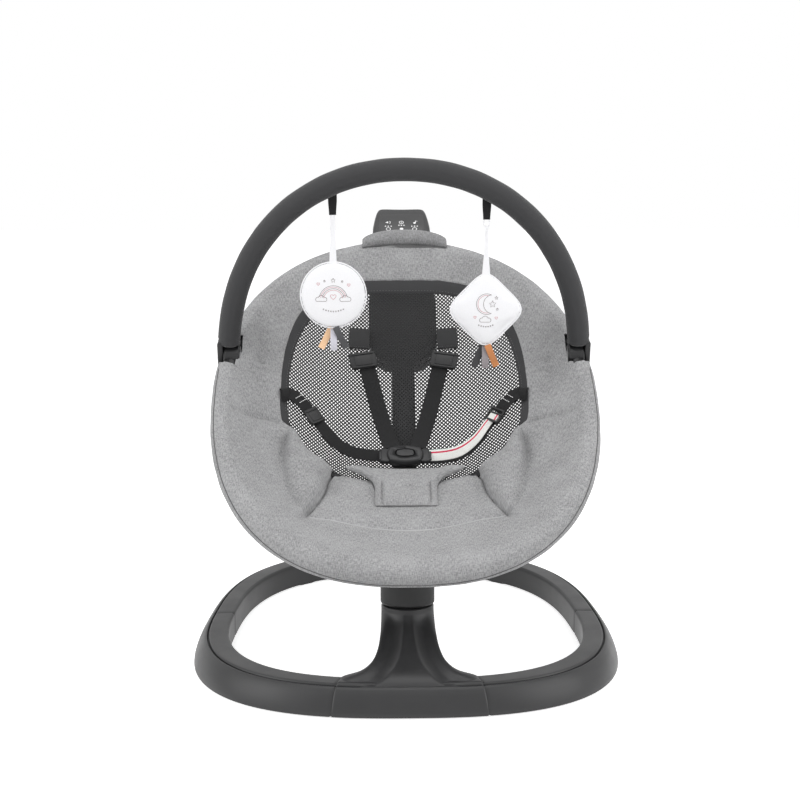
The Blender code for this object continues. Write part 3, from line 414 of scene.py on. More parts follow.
class Finish:
    """One surface finish: a material and the nodes that vary it."""

    def __init__(self, name, colour=(0.5, 0.5, 0.5), roughness=0.6, metallic=0.0, **constants):
        self.colour = tuple(colour)
        self.material = bpy.data.materials.new(name)
        self.material.use_nodes = True
        self.tree = self.material.node_tree
        self.shader = self.tree.nodes["Principled BSDF"]
        self.set("Base Color", (*self.colour, 1.0))
        self.set("Roughness", roughness)
        self.set("Metallic", metallic)
        for socket, value in constants.items():
            self.set(socket.replace("_", " "), value)

    def feed(self, target, value):
        """Give a socket a link or a constant; a colour gets its fourth channel."""
        if isinstance(value, Shade):
            self.tree.links.new(value.socket, target)
        elif target.type == "RGBA" and len(value) == 3:
            target.default_value = (*value, 1.0)
        else:
            target.default_value = value

    def set(self, socket, value):
        self.feed(self.shader.inputs[socket], value)

    def node(self, kind, settings=None, values=None, output=0):
        node = self.tree.nodes.new(kind)
        for name, value in (settings or {}).items():
            setattr(node, name, value)
        for socket, value in (values or {}).items():
            self.feed(node.inputs[socket], value)
        return Shade(self, node.outputs[output])

    def place(self, scale=(1, 1, 1)):
        """Object coordinates in metres, stretched by a Mapping node."""
        source = self.node("ShaderNodeTexCoord", output="Object")
        return self.node("ShaderNodeMapping", values={"Vector": source, "Scale": scale})

    def cloth(self, scale=(1, 1, 1)):
        """The piece's own flat cloth coordinates in metres."""
        source = self.node("ShaderNodeUVMap", {"uv_map": "cloth"})
        return self.node("ShaderNodeMapping", values={"Vector": source, "Scale": scale})

    def noise(self, vector, scale=1.0, detail=2.0):
        return self.node("ShaderNodeTexNoise", values={
            "Vector": vector, "Scale": scale, "Detail": detail, "Roughness": 0.6})

    def parts(self, vector):
        split = self.node("ShaderNodeSeparateXYZ", values={0: vector})
        return [Shade(self, output) for output in split.socket.node.outputs]

    def blend(self, share, start, end):
        """A colour between start and end."""
        return self.node("ShaderNodeMix", {"data_type": "RGBA"}, {0: share, 6: start, 7: end}, 2)

    def mottle(self, share, low, high, dark, light):
        """Vary the base colour between a darker and a lighter tint of it."""
        self.set("Base Color", self.blend(share.spread(low, high), tint(self.colour, dark),
                                          tint(self.colour, light)))

    def dull(self, share, low, high):
        """Vary the roughness from low to high."""
        self.set("Roughness", share.spread(0.3, 0.7, low, high))

    def bump(self, height, strength, distance):
        self.set("Normal", self.node("ShaderNodeBump", values={
            "Height": height, "Strength": strength, "Distance": distance}))
        return self.material


def tint(colour, factor):
    return tuple(min(channel * factor, 1.0) for channel in colour)


def grey_cloth(name, painted_shade_tone=1.0):
    """Heathered grey cloth: light and dark fibres in a fine plain weave."""
    # The tone factor darkens the whole cloth when below 1; the head flap uses it as painted shade.
    finish = Finish(name, tint(colours().grey_cloth, painted_shade_tone * 0.86), 0.95, Sheen_Weight=0.12,
                    Sheen_Roughness=0.5)
    fibres = finish.noise(finish.cloth((950, 170, 400)))
    cross = finish.noise(finish.cloth((180, 760, 400)))
    cloud = finish.noise(finish.place(), 24.0, 3.0)
    finish.mottle(fibres * 0.52 + cross * 0.33 + cloud * 0.15, 0.40, 0.60, 0.66, 1.38)
    finish.dull(fibres, 0.88, 1.0)
    across, along, _ = finish.parts(finish.cloth())
    weave = across.wave(sizes().weave) * along.wave(sizes().weave)
    return finish.bump(weave * 0.5 + fibres * 0.8, 0.35, 0.0006)


def black_cloth(name, flat=True, colour=None, pitch=0.0016):
    """Dense black cloth with a visible rib."""
    finish = Finish(name, colour or colours().black_cloth, 0.85, Sheen_Weight=0.2,
                    Sheen_Roughness=0.4)
    source = finish.cloth if flat else finish.place
    across, along, _ = finish.parts(source())
    ribs = (across + along).wave(pitch) * (across - along).wave(pitch)
    fibres = finish.noise(source((900, 900, 900)))
    finish.mottle(fibres * 0.7 + ribs * 0.12, 0.2, 0.6, 0.72, 1.35)
    finish.dull(fibres, 0.72, 0.95)
    return finish.bump(ribs * 0.5 + fibres * 0.6, 0.35, 0.0005)


def webbing(name):
    """Woven strap: a fine herringbone across it."""
    finish = Finish(name, colours().webbing, 0.75, Sheen_Weight=0.04, Specular_IOR_Level=0.2)
    across, along, _ = finish.parts(finish.cloth())
    rows = (along * (2 * math.pi / 0.0014) + across.wave(0.0042) * 1.6).sine()
    fibres = finish.noise(finish.cloth((700, 1500, 700)))
    finish.mottle(rows * 0.14 + fibres * 0.7, 0.15, 0.6, 0.75, 1.3)
    finish.dull(fibres, 0.6, 0.85)
    return finish.bump(rows * 0.5 + fibres * 0.4, 0.4, 0.0004)


def striped_webbing(name, width):
    """White webbing with a red line near its upper edge and a thin green edge thread."""
    finish = Finish(name, (0.8, 0.8, 0.8), 0.75, Sheen_Weight=0.1)
    across, along, _ = finish.parts(finish.cloth())
    line = (across - width * 0.74).size().below(width * 0.07)
    edge = across.above(width * 0.955)
    rows = along.wave(0.0013)
    fibres = finish.noise(finish.cloth((700, 900, 700)))
    ground = finish.blend((rows * 0.12 + fibres).spread(0.3, 0.7), (0.66, 0.66, 0.63),
                          (0.86, 0.86, 0.84))
    striped = finish.blend(line, ground, tuple(colours().stripe))
    finish.set("Base Color", finish.blend(edge * 0.6, striped, (0.35, 0.62, 0.52)))
    finish.dull(fibres, 0.65, 0.9)
    return finish.bump(rows * 0.5 + fibres * 0.3, 0.4, 0.0004)


def white_cloth(name):
    """Smooth white cotton with a faint weave."""
    finish = Finish(name, colours().white_cloth, 0.9, Sheen_Weight=0.08)
    fibres = finish.noise(finish.place((900, 900, 900)))
    finish.mottle(fibres, 0.3, 0.7, 0.97, 1.03)
    finish.dull(fibres, 0.85, 0.98)
    across, _, height = finish.parts(finish.place())
    weave = across.wave(0.0009) * height.wave(0.0009)
    return finish.bump(weave * 0.4 + fibres * 0.4, 0.15, 0.0004)


def ribbon_cloth(name, colour):
    """Satin ribbon with fine cross ribs."""
    finish = Finish(name, colour, 0.5, Sheen_Weight=0.2)
    _, along, _ = finish.parts(finish.cloth())
    ribs = along.wave(0.0008)
    fibres = finish.noise(finish.cloth((500, 1400, 500)))
    finish.mottle(ribs * 0.15 + fibres, 0.3, 0.7, 0.86, 1.1)
    finish.dull(fibres, 0.42, 0.62)
    return finish.bump(ribs, 0.25, 0.0003)


def moulded(name, colour, roughness=0.45, grain=0.12, worn=0.1):
    """Moulded plastic: fine spark grain, faint cloudiness, and roughness that wanders at random by
    up to worn.
    """
    finish = Finish(name, colour, roughness, Specular_IOR_Level=0.4)
    spark = finish.noise(finish.place(), 1500.0)
    cloud = finish.noise(finish.place(), 14.0, 3.0)
    finish.mottle(cloud, 0.3, 0.7, 0.92, 1.1)
    finish.dull(cloud * 0.6 + spark * 0.4, roughness - worn, roughness + worn)
    return finish.bump(spark, grain, 0.0002)


def bare_metal(name, colour, roughness):
    """Turned metal with fine drawn scratches."""
    finish = Finish(name, colour, roughness, 1.0)
    scratches = finish.noise(finish.place((1, 1, 40)), 90.0, 3.0)
    finish.mottle(scratches, 0.3, 0.7, 0.85, 1.1)
    finish.dull(scratches, roughness, roughness + 0.15)
    return finish.bump(scratches, 0.08, 0.0002)


def thread(name, colour):
    """Sewing thread with a twist."""
    finish = Finish(name, colour, 0.7)
    twist = finish.noise(finish.place(), 1800.0, 1.0)
    finish.mottle(twist, 0.3, 0.7, 0.8, 1.2)
    return finish.bump(twist, 0.3, 0.0002)


def printed(name, colour):
    """Thin printed mark."""
    finish = Finish(name, colour, 0.5)
    finish.mottle(finish.noise(finish.place(), 1200.0, 1.0), 0.3, 0.7, 0.9, 1.1)
    return finish.material


def glossy_panel(name, colour):
    """Smooth touch panel with faint smears."""
    finish = Finish(name, colour, 0.2)
    smear = finish.noise(finish.place(), 40.0, 3.0)
    finish.dull(smear, 0.26, 0.36)
    return finish.bump(smear, 0.02, 0.0002)


def grid_form(columns, rows, place, cloth=(1.0, 1.0)):
    """A grid whose vertices go to place(u, v), with u and v from 0 to 1; touching edges merge."""
    bm = bmesh.new()
    bmesh.ops.create_grid(bm, x_segments=columns, y_segments=rows, size=0.5)
    layer = bm.loops.layers.uv.new("cloth")
    for face in bm.faces:
        for loop in face.loops:
            u, v = loop.vert.co.x + 0.5, loop.vert.co.y + 0.5
            loop[layer].uv = cloth(u, v) if callable(cloth) else (u * cloth[0], v * cloth[1])
    for vert in bm.verts:
        vert.co = place(vert.co.x + 0.5, vert.co.y + 0.5)
    bmesh.ops.remove_doubles(bm, verts=bm.verts[:], dist=1e-6)
    bmesh.ops.dissolve_degenerate(bm, edges=bm.edges[:], dist=1e-7)
    return bm


def close_ends(bm):
    edges = [edge for edge in bm.edges if edge.is_boundary]
    if edges:
        bmesh.ops.holes_fill(bm, edges=edges, sides=0)
    return bm


def end_rounding(distance, radius):
    """How far a section draws in near an end, at a distance from it, for a rounded end."""
    if distance >= radius:
        return 0.0
    return radius - math.sqrt(max(radius ** 2 - (radius - distance) ** 2, 0.0))


def make_mesh(name, bm):
    """Turn a form into a mesh and free it."""
    mesh = bpy.data.meshes.new(name)
    bm.to_mesh(mesh)
    bm.free()
    return mesh


def link_object(name, data):
    piece = bpy.data.objects.new(name, data)
    bpy.context.scene.collection.objects.link(piece)
    return piece


def finish_piece(name, bm, material, body, place=None, replaces=(), angle=45):
    """Make a form the named piece: place in its mesh, faces outwards, riding on its body if any."""
    bmesh.ops.recalc_face_normals(bm, faces=bm.faces[:])
    if place is not None:
        bm.transform(place)
    mesh = make_mesh(name, bm)
    mesh.shade_smooth()
    mesh.set_sharp_from_angle(angle=math.radians(angle))
    mesh.materials.append(material)
    piece = link_object(name, mesh)
    if body:
        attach(piece, body)
    if replaces:
        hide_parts(*replaces)
    return piece


def seat_piece(name, bm, material, slot, *nodes, place=SEAT, angle=45):
    """A piece of the seat, made in the seat's own axes unless another place is given."""
    return finish_piece(name, bm, material, "seat", place, nodes, angle)


def section_offsets(width, thickness, sides, fullness):
    """A flat rounded section as (across, up) offsets."""
    turns = spaced(0.0, 2 * math.pi, sides)
    return [(width / 2 * signed_power(math.cos(turn), 2 / fullness),
             thickness / 2 * signed_power(math.sin(turn), 2 / fullness)) for turn in turns]


def strap_form(path, normals, width, thickness, sides=20):
    """A woven strap swept along a path; its cloth coordinates run across and along it."""
    offsets = section_offsets(1.0, 1.0, sides, 5.0)
    frames = []
    travelled = [0.0]
    for index, point in enumerate(path):
        ahead = path[min(index + 1, len(path) - 1)] - path[max(index - 1, 0)]
        along = ahead.normalized()
        across = along.cross(normals[index]).normalized()
        frames.append((across, across.cross(along).normalized()))
        if index:
            travelled.append(travelled[-1] + (point - path[index - 1]).length)
    rows = len(path) - 1

    def place(u, v):
        index = round(v * rows)
        across, up = frames[index]
        share, rise = offsets[round(u * sides)]
        return path[index] + across * share * width + up * rise * thickness

    bm = grid_form(sides, rows, place)
    layer = bm.loops.layers.uv["cloth"]
    for face in bm.faces:
        for loop in face.loops:
            u, v = loop[layer].uv
            share = offsets[round(u * sides)][0]
            loop[layer].uv = ((share + 0.5) * width, travelled[round(v * rows)])
    return close_ends(bm)


def seat_path(places, side=1, per_step=8):
    """A smooth path over one side of the seat through (x, y, lift) places, with its normals."""
    course = curve_through([(side * x, y, lift) for x, y, lift in places], per_step)
    path = [on_seat(x, y) + bowl_normal(x, y) * lift for x, y, lift in course]
    return path, [bowl_normal(x, y) for x, y, lift in course]


def stitch_form(path, normals, length, gap, radius, lift=0.0):
    """A row of stitches along a path, each a small flattened bead of thread."""
    bm = bmesh.new()
    due = length / 2
    travelled = 0.0
    for index in range(1, len(path)):
        step = path[index] - path[index - 1]
        while due <= travelled + step.length and step.length > 0:
            along = step.normalized()
            up = normals[index]
            across = along.cross(up).normalized()
            centre = path[index - 1] + along * (due - travelled) + up * lift
            turn = Matrix((along, across, up)).transposed()
            made = bmesh.ops.create_icosphere(bm, subdivisions=1, radius=1.0)
            bmesh.ops.scale(bm, vec=(length / 2, radius, radius * 0.7), verts=made["verts"])
            bmesh.ops.rotate(bm, matrix=turn, verts=made["verts"])
            bmesh.ops.translate(bm, vec=centre, verts=made["verts"])
            due += length + gap
        travelled += step.length
    return bm


def slab_form(size, bevel, segments=3):
    """A block with rounded edges about its own centre."""
    bm = bmesh.new()
    bmesh.ops.create_cube(bm, size=1.0)
    bmesh.ops.scale(bm, vec=size, verts=bm.verts[:])
    bmesh.ops.bevel(bm, geom=bm.edges[:], offset=bevel, segments=segments, profile=0.5,
                    affect="EDGES", material=-1)
    return bm


def round_slab_form(size, corner, bevel, sides=64):
    """A plate with rounded corners: a circle pushed to the outline, extruded and bevelled."""
    bm = bmesh.new()
    bmesh.ops.create_circle(bm, cap_ends=True, radius=1.0, segments=sides)
    half_x, half_y = size[0] / 2 - corner, size[1] / 2 - corner
    for vert in bm.verts:
        turn = math.atan2(vert.co.y, vert.co.x)
        x, y = math.cos(turn), math.sin(turn)
        square = max(abs(x), abs(y))
        vert.co.x = half_x * max(-1, min(1, x / square)) + corner * x
        vert.co.y = half_y * max(-1, min(1, y / square)) + corner * y
        vert.co.z = -size[2] / 2
    made = bmesh.ops.extrude_face_region(bm, geom=bm.faces[:])
    tops = [item for item in made["geom"] if isinstance(item, bmesh.types.BMVert)]
    bmesh.ops.translate(bm, vec=(0, 0, size[2]), verts=tops)
    rims = [edge for edge in bm.edges if abs(edge.verts[0].co.z - edge.verts[1].co.z) < 1e-7]
    bmesh.ops.bevel(bm, geom=rims, offset=bevel, segments=3, profile=0.5, affect="EDGES",
                    material=-1)
    return bm


def add_form(bm, other, matrix=None):
    """Join another form into a mesh under way."""
    if matrix is not None:
        other.transform(matrix)
    mesh = make_mesh("joined", other)
    bm.from_mesh(mesh)
    bpy.data.meshes.remove(mesh)


def seat_turn(x, y, lift, turn=0.0):
    """A matrix that lays a form on the seat, turned about the seat's normal."""
    normal = bowl_normal(x, y)
    tilt = UP.rotation_difference(normal).to_matrix().to_4x4()
    place = Matrix.Translation(on_seat(x, y) + normal * lift)
    return place @ tilt @ Matrix.Rotation(turn, 4, "Z")


def settle(piece):
    """Apply a piece's modifiers to its mesh."""
    bpy.context.view_layer.update()
    evaluated = piece.evaluated_get(bpy.context.evaluated_depsgraph_get())
    mesh = bpy.data.meshes.new_from_object(evaluated)
    mesh.name = piece.name
    old = piece.data
    piece.modifiers.clear()
    piece.data = mesh
    bpy.data.meshes.remove(old)


def cut_away(piece, cutter_forms):
    """Cut forms out of a piece, and leave no cutter behind."""
    cutters = []
    for bm in cutter_forms:
        bmesh.ops.recalc_face_normals(bm, faces=bm.faces[:])
        cutter = link_object("cutter", make_mesh("cutter", bm))
        modifier = piece.modifiers.new("cut", "BOOLEAN")
        modifier.operation = "DIFFERENCE"
        modifier.solver = "EXACT"
        modifier.object = cutter
        cutters.append(cutter)
    settle(piece)
    for cutter in cutters:
        mesh = cutter.data
        bpy.data.objects.remove(cutter, do_unlink=True)
        bpy.data.meshes.remove(mesh)


def inflate(piece, voxel, pressure, cap, frames=20):
    """Swell a closed cloth form by a short simulation; no point moves further than the cap."""
    remesh = piece.modifiers.new("remesh", "REMESH")
    remesh.mode = "VOXEL"
    remesh.voxel_size = voxel
    settle(piece)
    starts = [vert.co.copy() for vert in piece.data.vertices]
    cloth = piece.modifiers.new("cloth", "CLOTH")
    cloth.settings.quality = 6
    cloth.settings.use_pressure = True
    cloth.settings.uniform_pressure_force = pressure
    cloth.settings.tension_stiffness = 12
    cloth.settings.bending_stiffness = 0.6
    cloth.settings.effector_weights.gravity = 0.0
    cloth.point_cache.frame_start = 1
    cloth.point_cache.frame_end = frames
    scene = bpy.context.scene
    for number in range(1, frames + 1):
        scene.frame_set(number)
    settle(piece)
    for vert, start in zip(piece.data.vertices, starts):
        move = vert.co - start
        if move.length > cap:
            vert.co = start + move * (cap / move.length)
    scene.frame_set(1)
    piece.data.shade_smooth()


CAMERA_PLACE = (-0.041, -1.96392, 0.70819)
CAMERA_TURN = (math.radians(79.1), 0, math.radians(-1.2))
CAMERA_LENS = 60.75
CAMERA_SHIFT = (-0.00625, 0.025)
LAMP_AIM = Vector((0, -0.1, 0.3))
LAMP_POWER = 20.5
LAMPS = {"left": ((-1.9, -1.0, 1.15), 1.5), "right": ((1.9, -1.0, 1.15), 1.5),
         "top": ((0.0, -0.3, 2.3), 1.8)}
WORLD_LIGHT = 0.47
FLOOR_GLOW = 0.75


class SWING_OT_stage(bpy.types.Operator):
    """Lay the floor, hang the lamps and set the camera"""
    bl_idname = "swing.stage"
    bl_label = "Stage and camera"

    def execute(self, context):
        scene = context.scene
        scene.view_settings.view_transform = "Standard"
        self.floor()
        self.world(scene)
        for name, (place, size) in LAMPS.items():
            data = bpy.data.lights.new("lamp_" + name, "AREA")
            data.energy = LAMP_POWER
            data.size = size
            lamp = link_object("lamp_" + name, data)
            lamp.location = place
            lamp.rotation_euler = (LAMP_AIM - Vector(place)).to_track_quat("-Z", "Y").to_euler()
        lens = bpy.data.cameras.new("camera")
        lens.lens = CAMERA_LENS
        lens.sensor_width = 36.0
        lens.shift_x, lens.shift_y = CAMERA_SHIFT
        scene.camera = link_object("camera", lens)
        scene.camera.location = CAMERA_PLACE
        scene.camera.rotation_euler = CAMERA_TURN
        return {"FINISHED"}

    def floor(self):
        """A pale floor that takes the shadow and shows white to camera, gloss and glass."""
        bm = bmesh.new()
        bmesh.ops.create_grid(bm, x_segments=1, y_segments=1, size=12.0)
        floor = link_object("floor", make_mesh("floor", bm))
        finish = Finish("pale_floor", (0.86, 0.86, 0.86), 0.9)
        grain = finish.noise(finish.place(), 30.0, 3.0)
        finish.set("Base Color", finish.blend(grain, (0.85, 0.85, 0.85), (0.87, 0.87, 0.87)))
        seen = self.seen(finish.tree)
        strength = finish.node("ShaderNodeMath", {"operation": "MULTIPLY"}, {1: FLOOR_GLOW})
        finish.tree.links.new(seen, strength.socket.node.inputs[0])
        glow = finish.node("ShaderNodeEmission", values={"Color": (1, 1, 1), "Strength": strength})
        total = finish.node("ShaderNodeAddShader", values={
            0: Shade(finish, finish.shader.outputs[0]), 1: glow})
        finish.tree.links.new(total.socket, finish.tree.nodes["Material Output"].inputs["Surface"])
        floor.data.materials.append(finish.material)

    def world(self, scene):
        """Soft grey light that looks white to camera, gloss and glass."""
        scene.world = bpy.data.worlds.new("studio")
        scene.world.use_nodes = True
        tree = scene.world.node_tree
        background = tree.nodes["Background"]
        strength = tree.nodes.new("ShaderNodeMapRange")
        strength.inputs["To Min"].default_value = WORLD_LIGHT
        strength.inputs["To Max"].default_value = 1.0
        tree.links.new(self.seen(tree), strength.inputs["Value"])
        tree.links.new(strength.outputs[0], background.inputs["Strength"])
        background.inputs["Color"].default_value = (1, 1, 1, 1)

    def seen(self, tree):
        """A socket that is 1 for camera, glossy and transmission rays and 0 for the light."""
        path = tree.nodes.new("ShaderNodeLightPath")
        seen = path.outputs["Is Camera Ray"]
        for kind in ("Is Glossy Ray", "Is Transmission Ray"):
            either = tree.nodes.new("ShaderNodeMath")
            either.operation = "MAXIMUM"
            tree.links.new(seen, either.inputs[0])
            tree.links.new(path.outputs[kind], either.inputs[1])
            seen = either.outputs[0]
        return seen


# Inset from the ring's outer edge, and height, from its outer foot over the top to the inner foot.
RING_PROFILE = [(0.0, 0.0023), (0.0003, 0.0050), (0.0008, 0.0080), (0.0030, 0.0150),
                (0.0060, 0.0220), (0.0095, 0.0286), (0.0132, 0.0337), (0.0156, 0.0362),
                (0.0172, 0.0371),
                (0.0184, 0.0368), (0.0190, 0.0358), (0.0194, 0.0342), (0.0205, 0.0340),
                (0.0210, 0.0366), (0.0220, 0.0384), (0.0240, 0.0391), (0.0330, 0.0392),
                (0.0440, 0.0391), (0.0464, 0.0386), (0.0480, 0.0372), (0.0488, 0.0350),
                (0.0490, 0.0300), (0.0490, 0.0160), (0.0490, 0.0023)]
RING_MIDDLE = Vector((0.0245, 0.0200))
RING_ROWS = 92
RING_END_ROUNDING = 0.0012
GROOVE_START, GROOVE_END = 0.0172, 0.0225


def ring_piece(start, end, columns, proud=0.0, step=0.0, groove=None):
    """A stretch of the base ring, its ends rounded; it may stand proud of its neighbours.

    The groove along it is left out where the function given for it is 0.
    """
    table = [(index, *corner) for index, corner in enumerate(RING_PROFILE)]
    length = RING_HALF_LENGTH * (end - start)

    def place(u, v):
        angle = mix(start, end, u)
        draw = end_rounding(min(u, 1 - u) * length, RING_END_ROUNDING)
        inset, height = follow(table, v * (len(table) - 1))
        if groove and GROOVE_START < inset < GROOVE_END:
            share = groove(ring_outline(angle, 0.019, 0).x)
            height = mix(0.0374 + (inset - GROOVE_START) * 0.35, height, share)
        if inset < GROOVE_END:
            inset -= proud
        else:
            height += step * smooth((inset - 0.0205) / 0.004)
        toward = RING_MIDDLE - Vector((inset, height))
        moved = Vector((inset, height)) + toward.normalized() * draw
        return ring_outline(angle, moved.x, max(moved.y, RING_BOTTOM))

    bm = grid_form(columns, RING_ROWS, place, (length, 0.12))
    ends = [edge for edge in bm.edges if edge.is_boundary]
    bottoms = [edge for edge in ends
               if all(abs(vert.co.z - RING_BOTTOM) < 2e-4 for vert in edge.verts)]
    bmesh.ops.bridge_loops(bm, edges=bottoms)
    return close_ends(bm)


# Sections of the column from its foot to its neck: place, front (y, z), side (x, y, z),
# rear (y, z) and fullness.
COLUMN_SECTIONS = [
    (0.0, -0.3175, 0.0300, 0.0925, -0.2845, 0.0385, -0.2830, 0.0060, 3.0),
    (1.1, -0.3085, 0.0420, 0.0860, -0.2838, 0.0428, -0.2770, 0.0110, 2.8),
    (2.6, -0.2965, 0.0505, 0.0640, -0.2808, 0.0486, -0.2640, 0.0170, 2.6),
    (4.6, -0.2780, 0.0580, 0.0495, -0.2700, 0.0566, -0.2450, 0.0240, 2.5),
    (7.2, -0.2560, 0.0670, 0.0418, -0.2480, 0.0655, -0.2180, 0.0330, 2.4),
    (10.0, -0.2350, 0.0780, 0.0382, -0.2230, 0.0765, -0.1880, 0.0450, 2.2),
    (12.6, -0.2175, 0.0890, 0.0370, -0.1960, 0.0840, -0.1600, 0.0610, 2.1),
    (15.0, -0.2090, 0.0980, 0.0365, -0.1712, 0.0945, -0.1345, 0.0905, 2.0),
    (16.3, -0.2061, 0.1062, 0.0365, -0.1698, 0.1030, -0.1334, 0.0998, 2.0),
]
# Half width of the tie down the column's front, at the same places.
TIE_EDGE = [(0.0, 0.078), (0.6, 0.050), (1.1, 0.0370), (2.6, 0.0255), (4.6, 0.0160), (7.2, 0.0104),
            (10.0, 0.0077), (12.6, 0.0062), (15.0, 0.0054), (16.3, 0.0050)]
FLUTE_DEPTH = 0.0048


def column_piece():
    """The column: a flared tie down its front, with a hollow flank on each side."""
    rows, sides = 110, 192
    top = COLUMN_SECTIONS[-1][0]

    def place(u, v):
        level = top * (1 - (1 - v) ** 1.8)
        (front_y, front_z, half_width, side_y, side_z, rear_y, rear_z,
         fullness) = follow(COLUMN_SECTIONS, level)
        draw = end_rounding((top - level) / 100, 0.0030)
        front, rear = Vector((0, front_y, front_z)), Vector((0, rear_y, rear_z))
        flank = Vector((0, side_y, side_z))
        turn = 2 * math.pi * u
        x = (half_width - draw) * signed_power(math.sin(turn), 2 / fullness)
        depth = abs(math.cos(turn)) ** (2 / fullness)
        ahead = math.cos(turn) > 0
        reach = (front if ahead else rear) - flank
        point = flank + reach * depth * (1 - draw / reach.length) + Vector((x, 0, 0))
        if ahead:
            edge = follow(TIE_EDGE, level)
            width = max(half_width - edge, 0.004)
            share = min(max((abs(x) - edge) / (width * 0.5), 0.0), 1.0)
            hollow = (FLUTE_DEPTH * (1 - (1 - share) ** 2.4)
                      * smooth((half_width - abs(x)) / (width * 0.6)))
            point -= ((front - rear).normalized() * hollow * smooth(level / 1.2)
                      * smooth((top - level) / 4.5))
        return point

    return close_ends(grid_form(sides, rows, place, (0.3, 0.2)))


class SWING_OT_base(bpy.types.Operator):
    """Model the base ring, its front housing and the column"""
    bl_idname = "swing.base"
    bl_label = "Base and column"

    def execute(self, context):
        charcoal = moulded("charcoal_moulding", colours().charcoal, 0.42)
        front = ring_angle(lambda p: p.x - HOUSING_HALF_WIDTH, 0, math.pi / 3)
        side = ring_angle(lambda p: p.y - SIDE_SEAM_Y, 0.3, 2.8)
        stretches = {"base_arc_right": (front, side), "base_arc_left": (-side, -front),
                     "base_arc_rear": (side, 2 * math.pi - side)}
        for name, (start, end) in stretches.items():
            finish_piece(name + "_shell", ring_piece(start, end, 160), charcoal, "base",
                         replaces=[name])
        housing = ring_piece(-front, front, 140, 0.0005, 0.0014, self.groove)
        add_form(housing, column_piece())
        finish_piece("base_front_shell", housing, charcoal, "base",
                     replaces=["base_front_housing"])
        return {"FINISHED"}

    def groove(self, x):
        """How deep the ring's groove runs on at x: it ends beside the column."""
        return smooth((abs(x) - 0.052) / 0.024)


class SWING_OT_collar(bpy.types.Operator):
    """Turn the collar that swings on the column"""
    bl_idname = "swing.collar"
    bl_label = "Swing collar"

    def execute(self, context):
        profile = [(0.0300, COLLAR_BOTTOM + 0.0004), (0.0345, COLLAR_BOTTOM),
                   (0.0362, COLLAR_BOTTOM + 0.0008), (0.0372, COLLAR_BOTTOM + 0.0024),
                   (COLLAR_RADIUS, COLLAR_BOTTOM + 0.0046),
                   (COLLAR_RADIUS, 0.0260), (COLLAR_RADIUS, COLLAR_TOP - 0.0040),
                   (0.0370, COLLAR_TOP - 0.0014), (0.0355, COLLAR_TOP), (0.0300, COLLAR_TOP)]
        points = curve_through([(radius, 0, height) for radius, height in profile], 5)
        bm = bmesh.new()
        verts = [bm.verts.new(point) for point in points]
        edges = [bm.edges.new(pair) for pair in zip(verts, verts[1:])]
        edges.append(bm.edges.new((verts[-1], verts[0])))
        bmesh.ops.spin(bm, geom=verts + edges, cent=(0, 0, 0), axis=(0, 0, 1), dvec=(0, 0, 0),
                       angle=2 * math.pi, steps=96, use_merge=True)
        bmesh.ops.remove_doubles(bm, verts=bm.verts[:], dist=1e-6)
        charcoal = moulded("collar_moulding", tint(colours().charcoal, 0.4), 0.5)
        seat_piece("collar_shell", bm, charcoal, "charcoal_plastic", "swing_collar", place=AXIS)
        return {"FINISHED"}


def spine_half_width(y):
    """Half the spine's width: a foot over the collar, a stem, and a round-cornered paddle."""
    corner = min(max((y - PADDLE_START) / PADDLE_CORNER, 0.0), 1.0)
    paddle = 0.036 * math.sqrt(1 - (1 - corner) ** 2)
    foot = 0.014 * (1 - smooth((y - 0.09) / 0.09))
    return 0.018 + paddle + foot - 0.004 * smooth((y - 0.58) / 0.05)


def spine_form(top, bottom):
    """A shell of the spine between two depths under its front face."""
    sides, rows = 36, 150
    offsets = section_offsets(2.0, 1.0, sides, 7.0)
    bends = [0.050, PADDLE_START, PADDLE_START + PADDLE_CORNER, 0.6435]

    def place(u, v):
        if v < 0.35:
            y = mix(bends[0], bends[1], v / 0.35)
        elif v < 0.75:
            y = mix(bends[1], bends[2], ((v - 0.35) / 0.40) ** 2)
        else:
            y = mix(bends[2], bends[3], (v - 0.75) / 0.25)
        face = bowl(0, y) - roll_crest(0, y) - 0.018 - 0.012 * smooth((y - 0.57) / 0.05)
        across, rise = offsets[round(u * sides)]
        return Vector((across * spine_half_width(y), y,
                       face - (top + bottom) / 2 + rise * (bottom - top)))

    return close_ends(grid_form(sides, rows, place, (0.2, 0.6)))


class SWING_OT_spine(bpy.types.Operator):
    """Model the two shells of the seat's spine and its round foot"""
    bl_idname = "swing.spine"
    bl_label = "Spine"

    def execute(self, context):
        charcoal = moulded("spine_moulding", colours().charcoal, 0.5)
        seat_piece("spine_front_moulding", spine_form(0.0, 0.010), charcoal, "charcoal_plastic",
                   "spine_front_shell")
        rear = spine_form(0.0103, 0.027)
        rear.transform(SEAT)
        foot = bmesh.new()
        bmesh.ops.create_cone(foot, cap_ends=True, segments=96, radius1=0.0355, radius2=0.031,
                              depth=SPINE_FOOT_HEIGHT)
        rims = [edge for edge in foot.edges if edge.calc_face_angle(0.0) > 1.0]
        bmesh.ops.bevel(foot, geom=rims, offset=0.0012, segments=3, profile=0.5, affect="EDGES",
                        material=-1)
        add_form(rear, foot, AXIS @ shift(0, 0, COLLAR_TOP + 0.0003 + SPINE_FOOT_HEIGHT / 2))
        seat_piece("spine_rear_moulding", rear, charcoal, "charcoal_plastic", "spine_rear_shell",
                   place=None)
        return {"FINISHED"}


def seam_share(turn):
    """Where the sewn seam crosses the cover, from the mesh opening (0) to the rim (1)."""
    return follow(SEAM_COURSE, turn) if turn < BOLSTER_TOP else 0.0


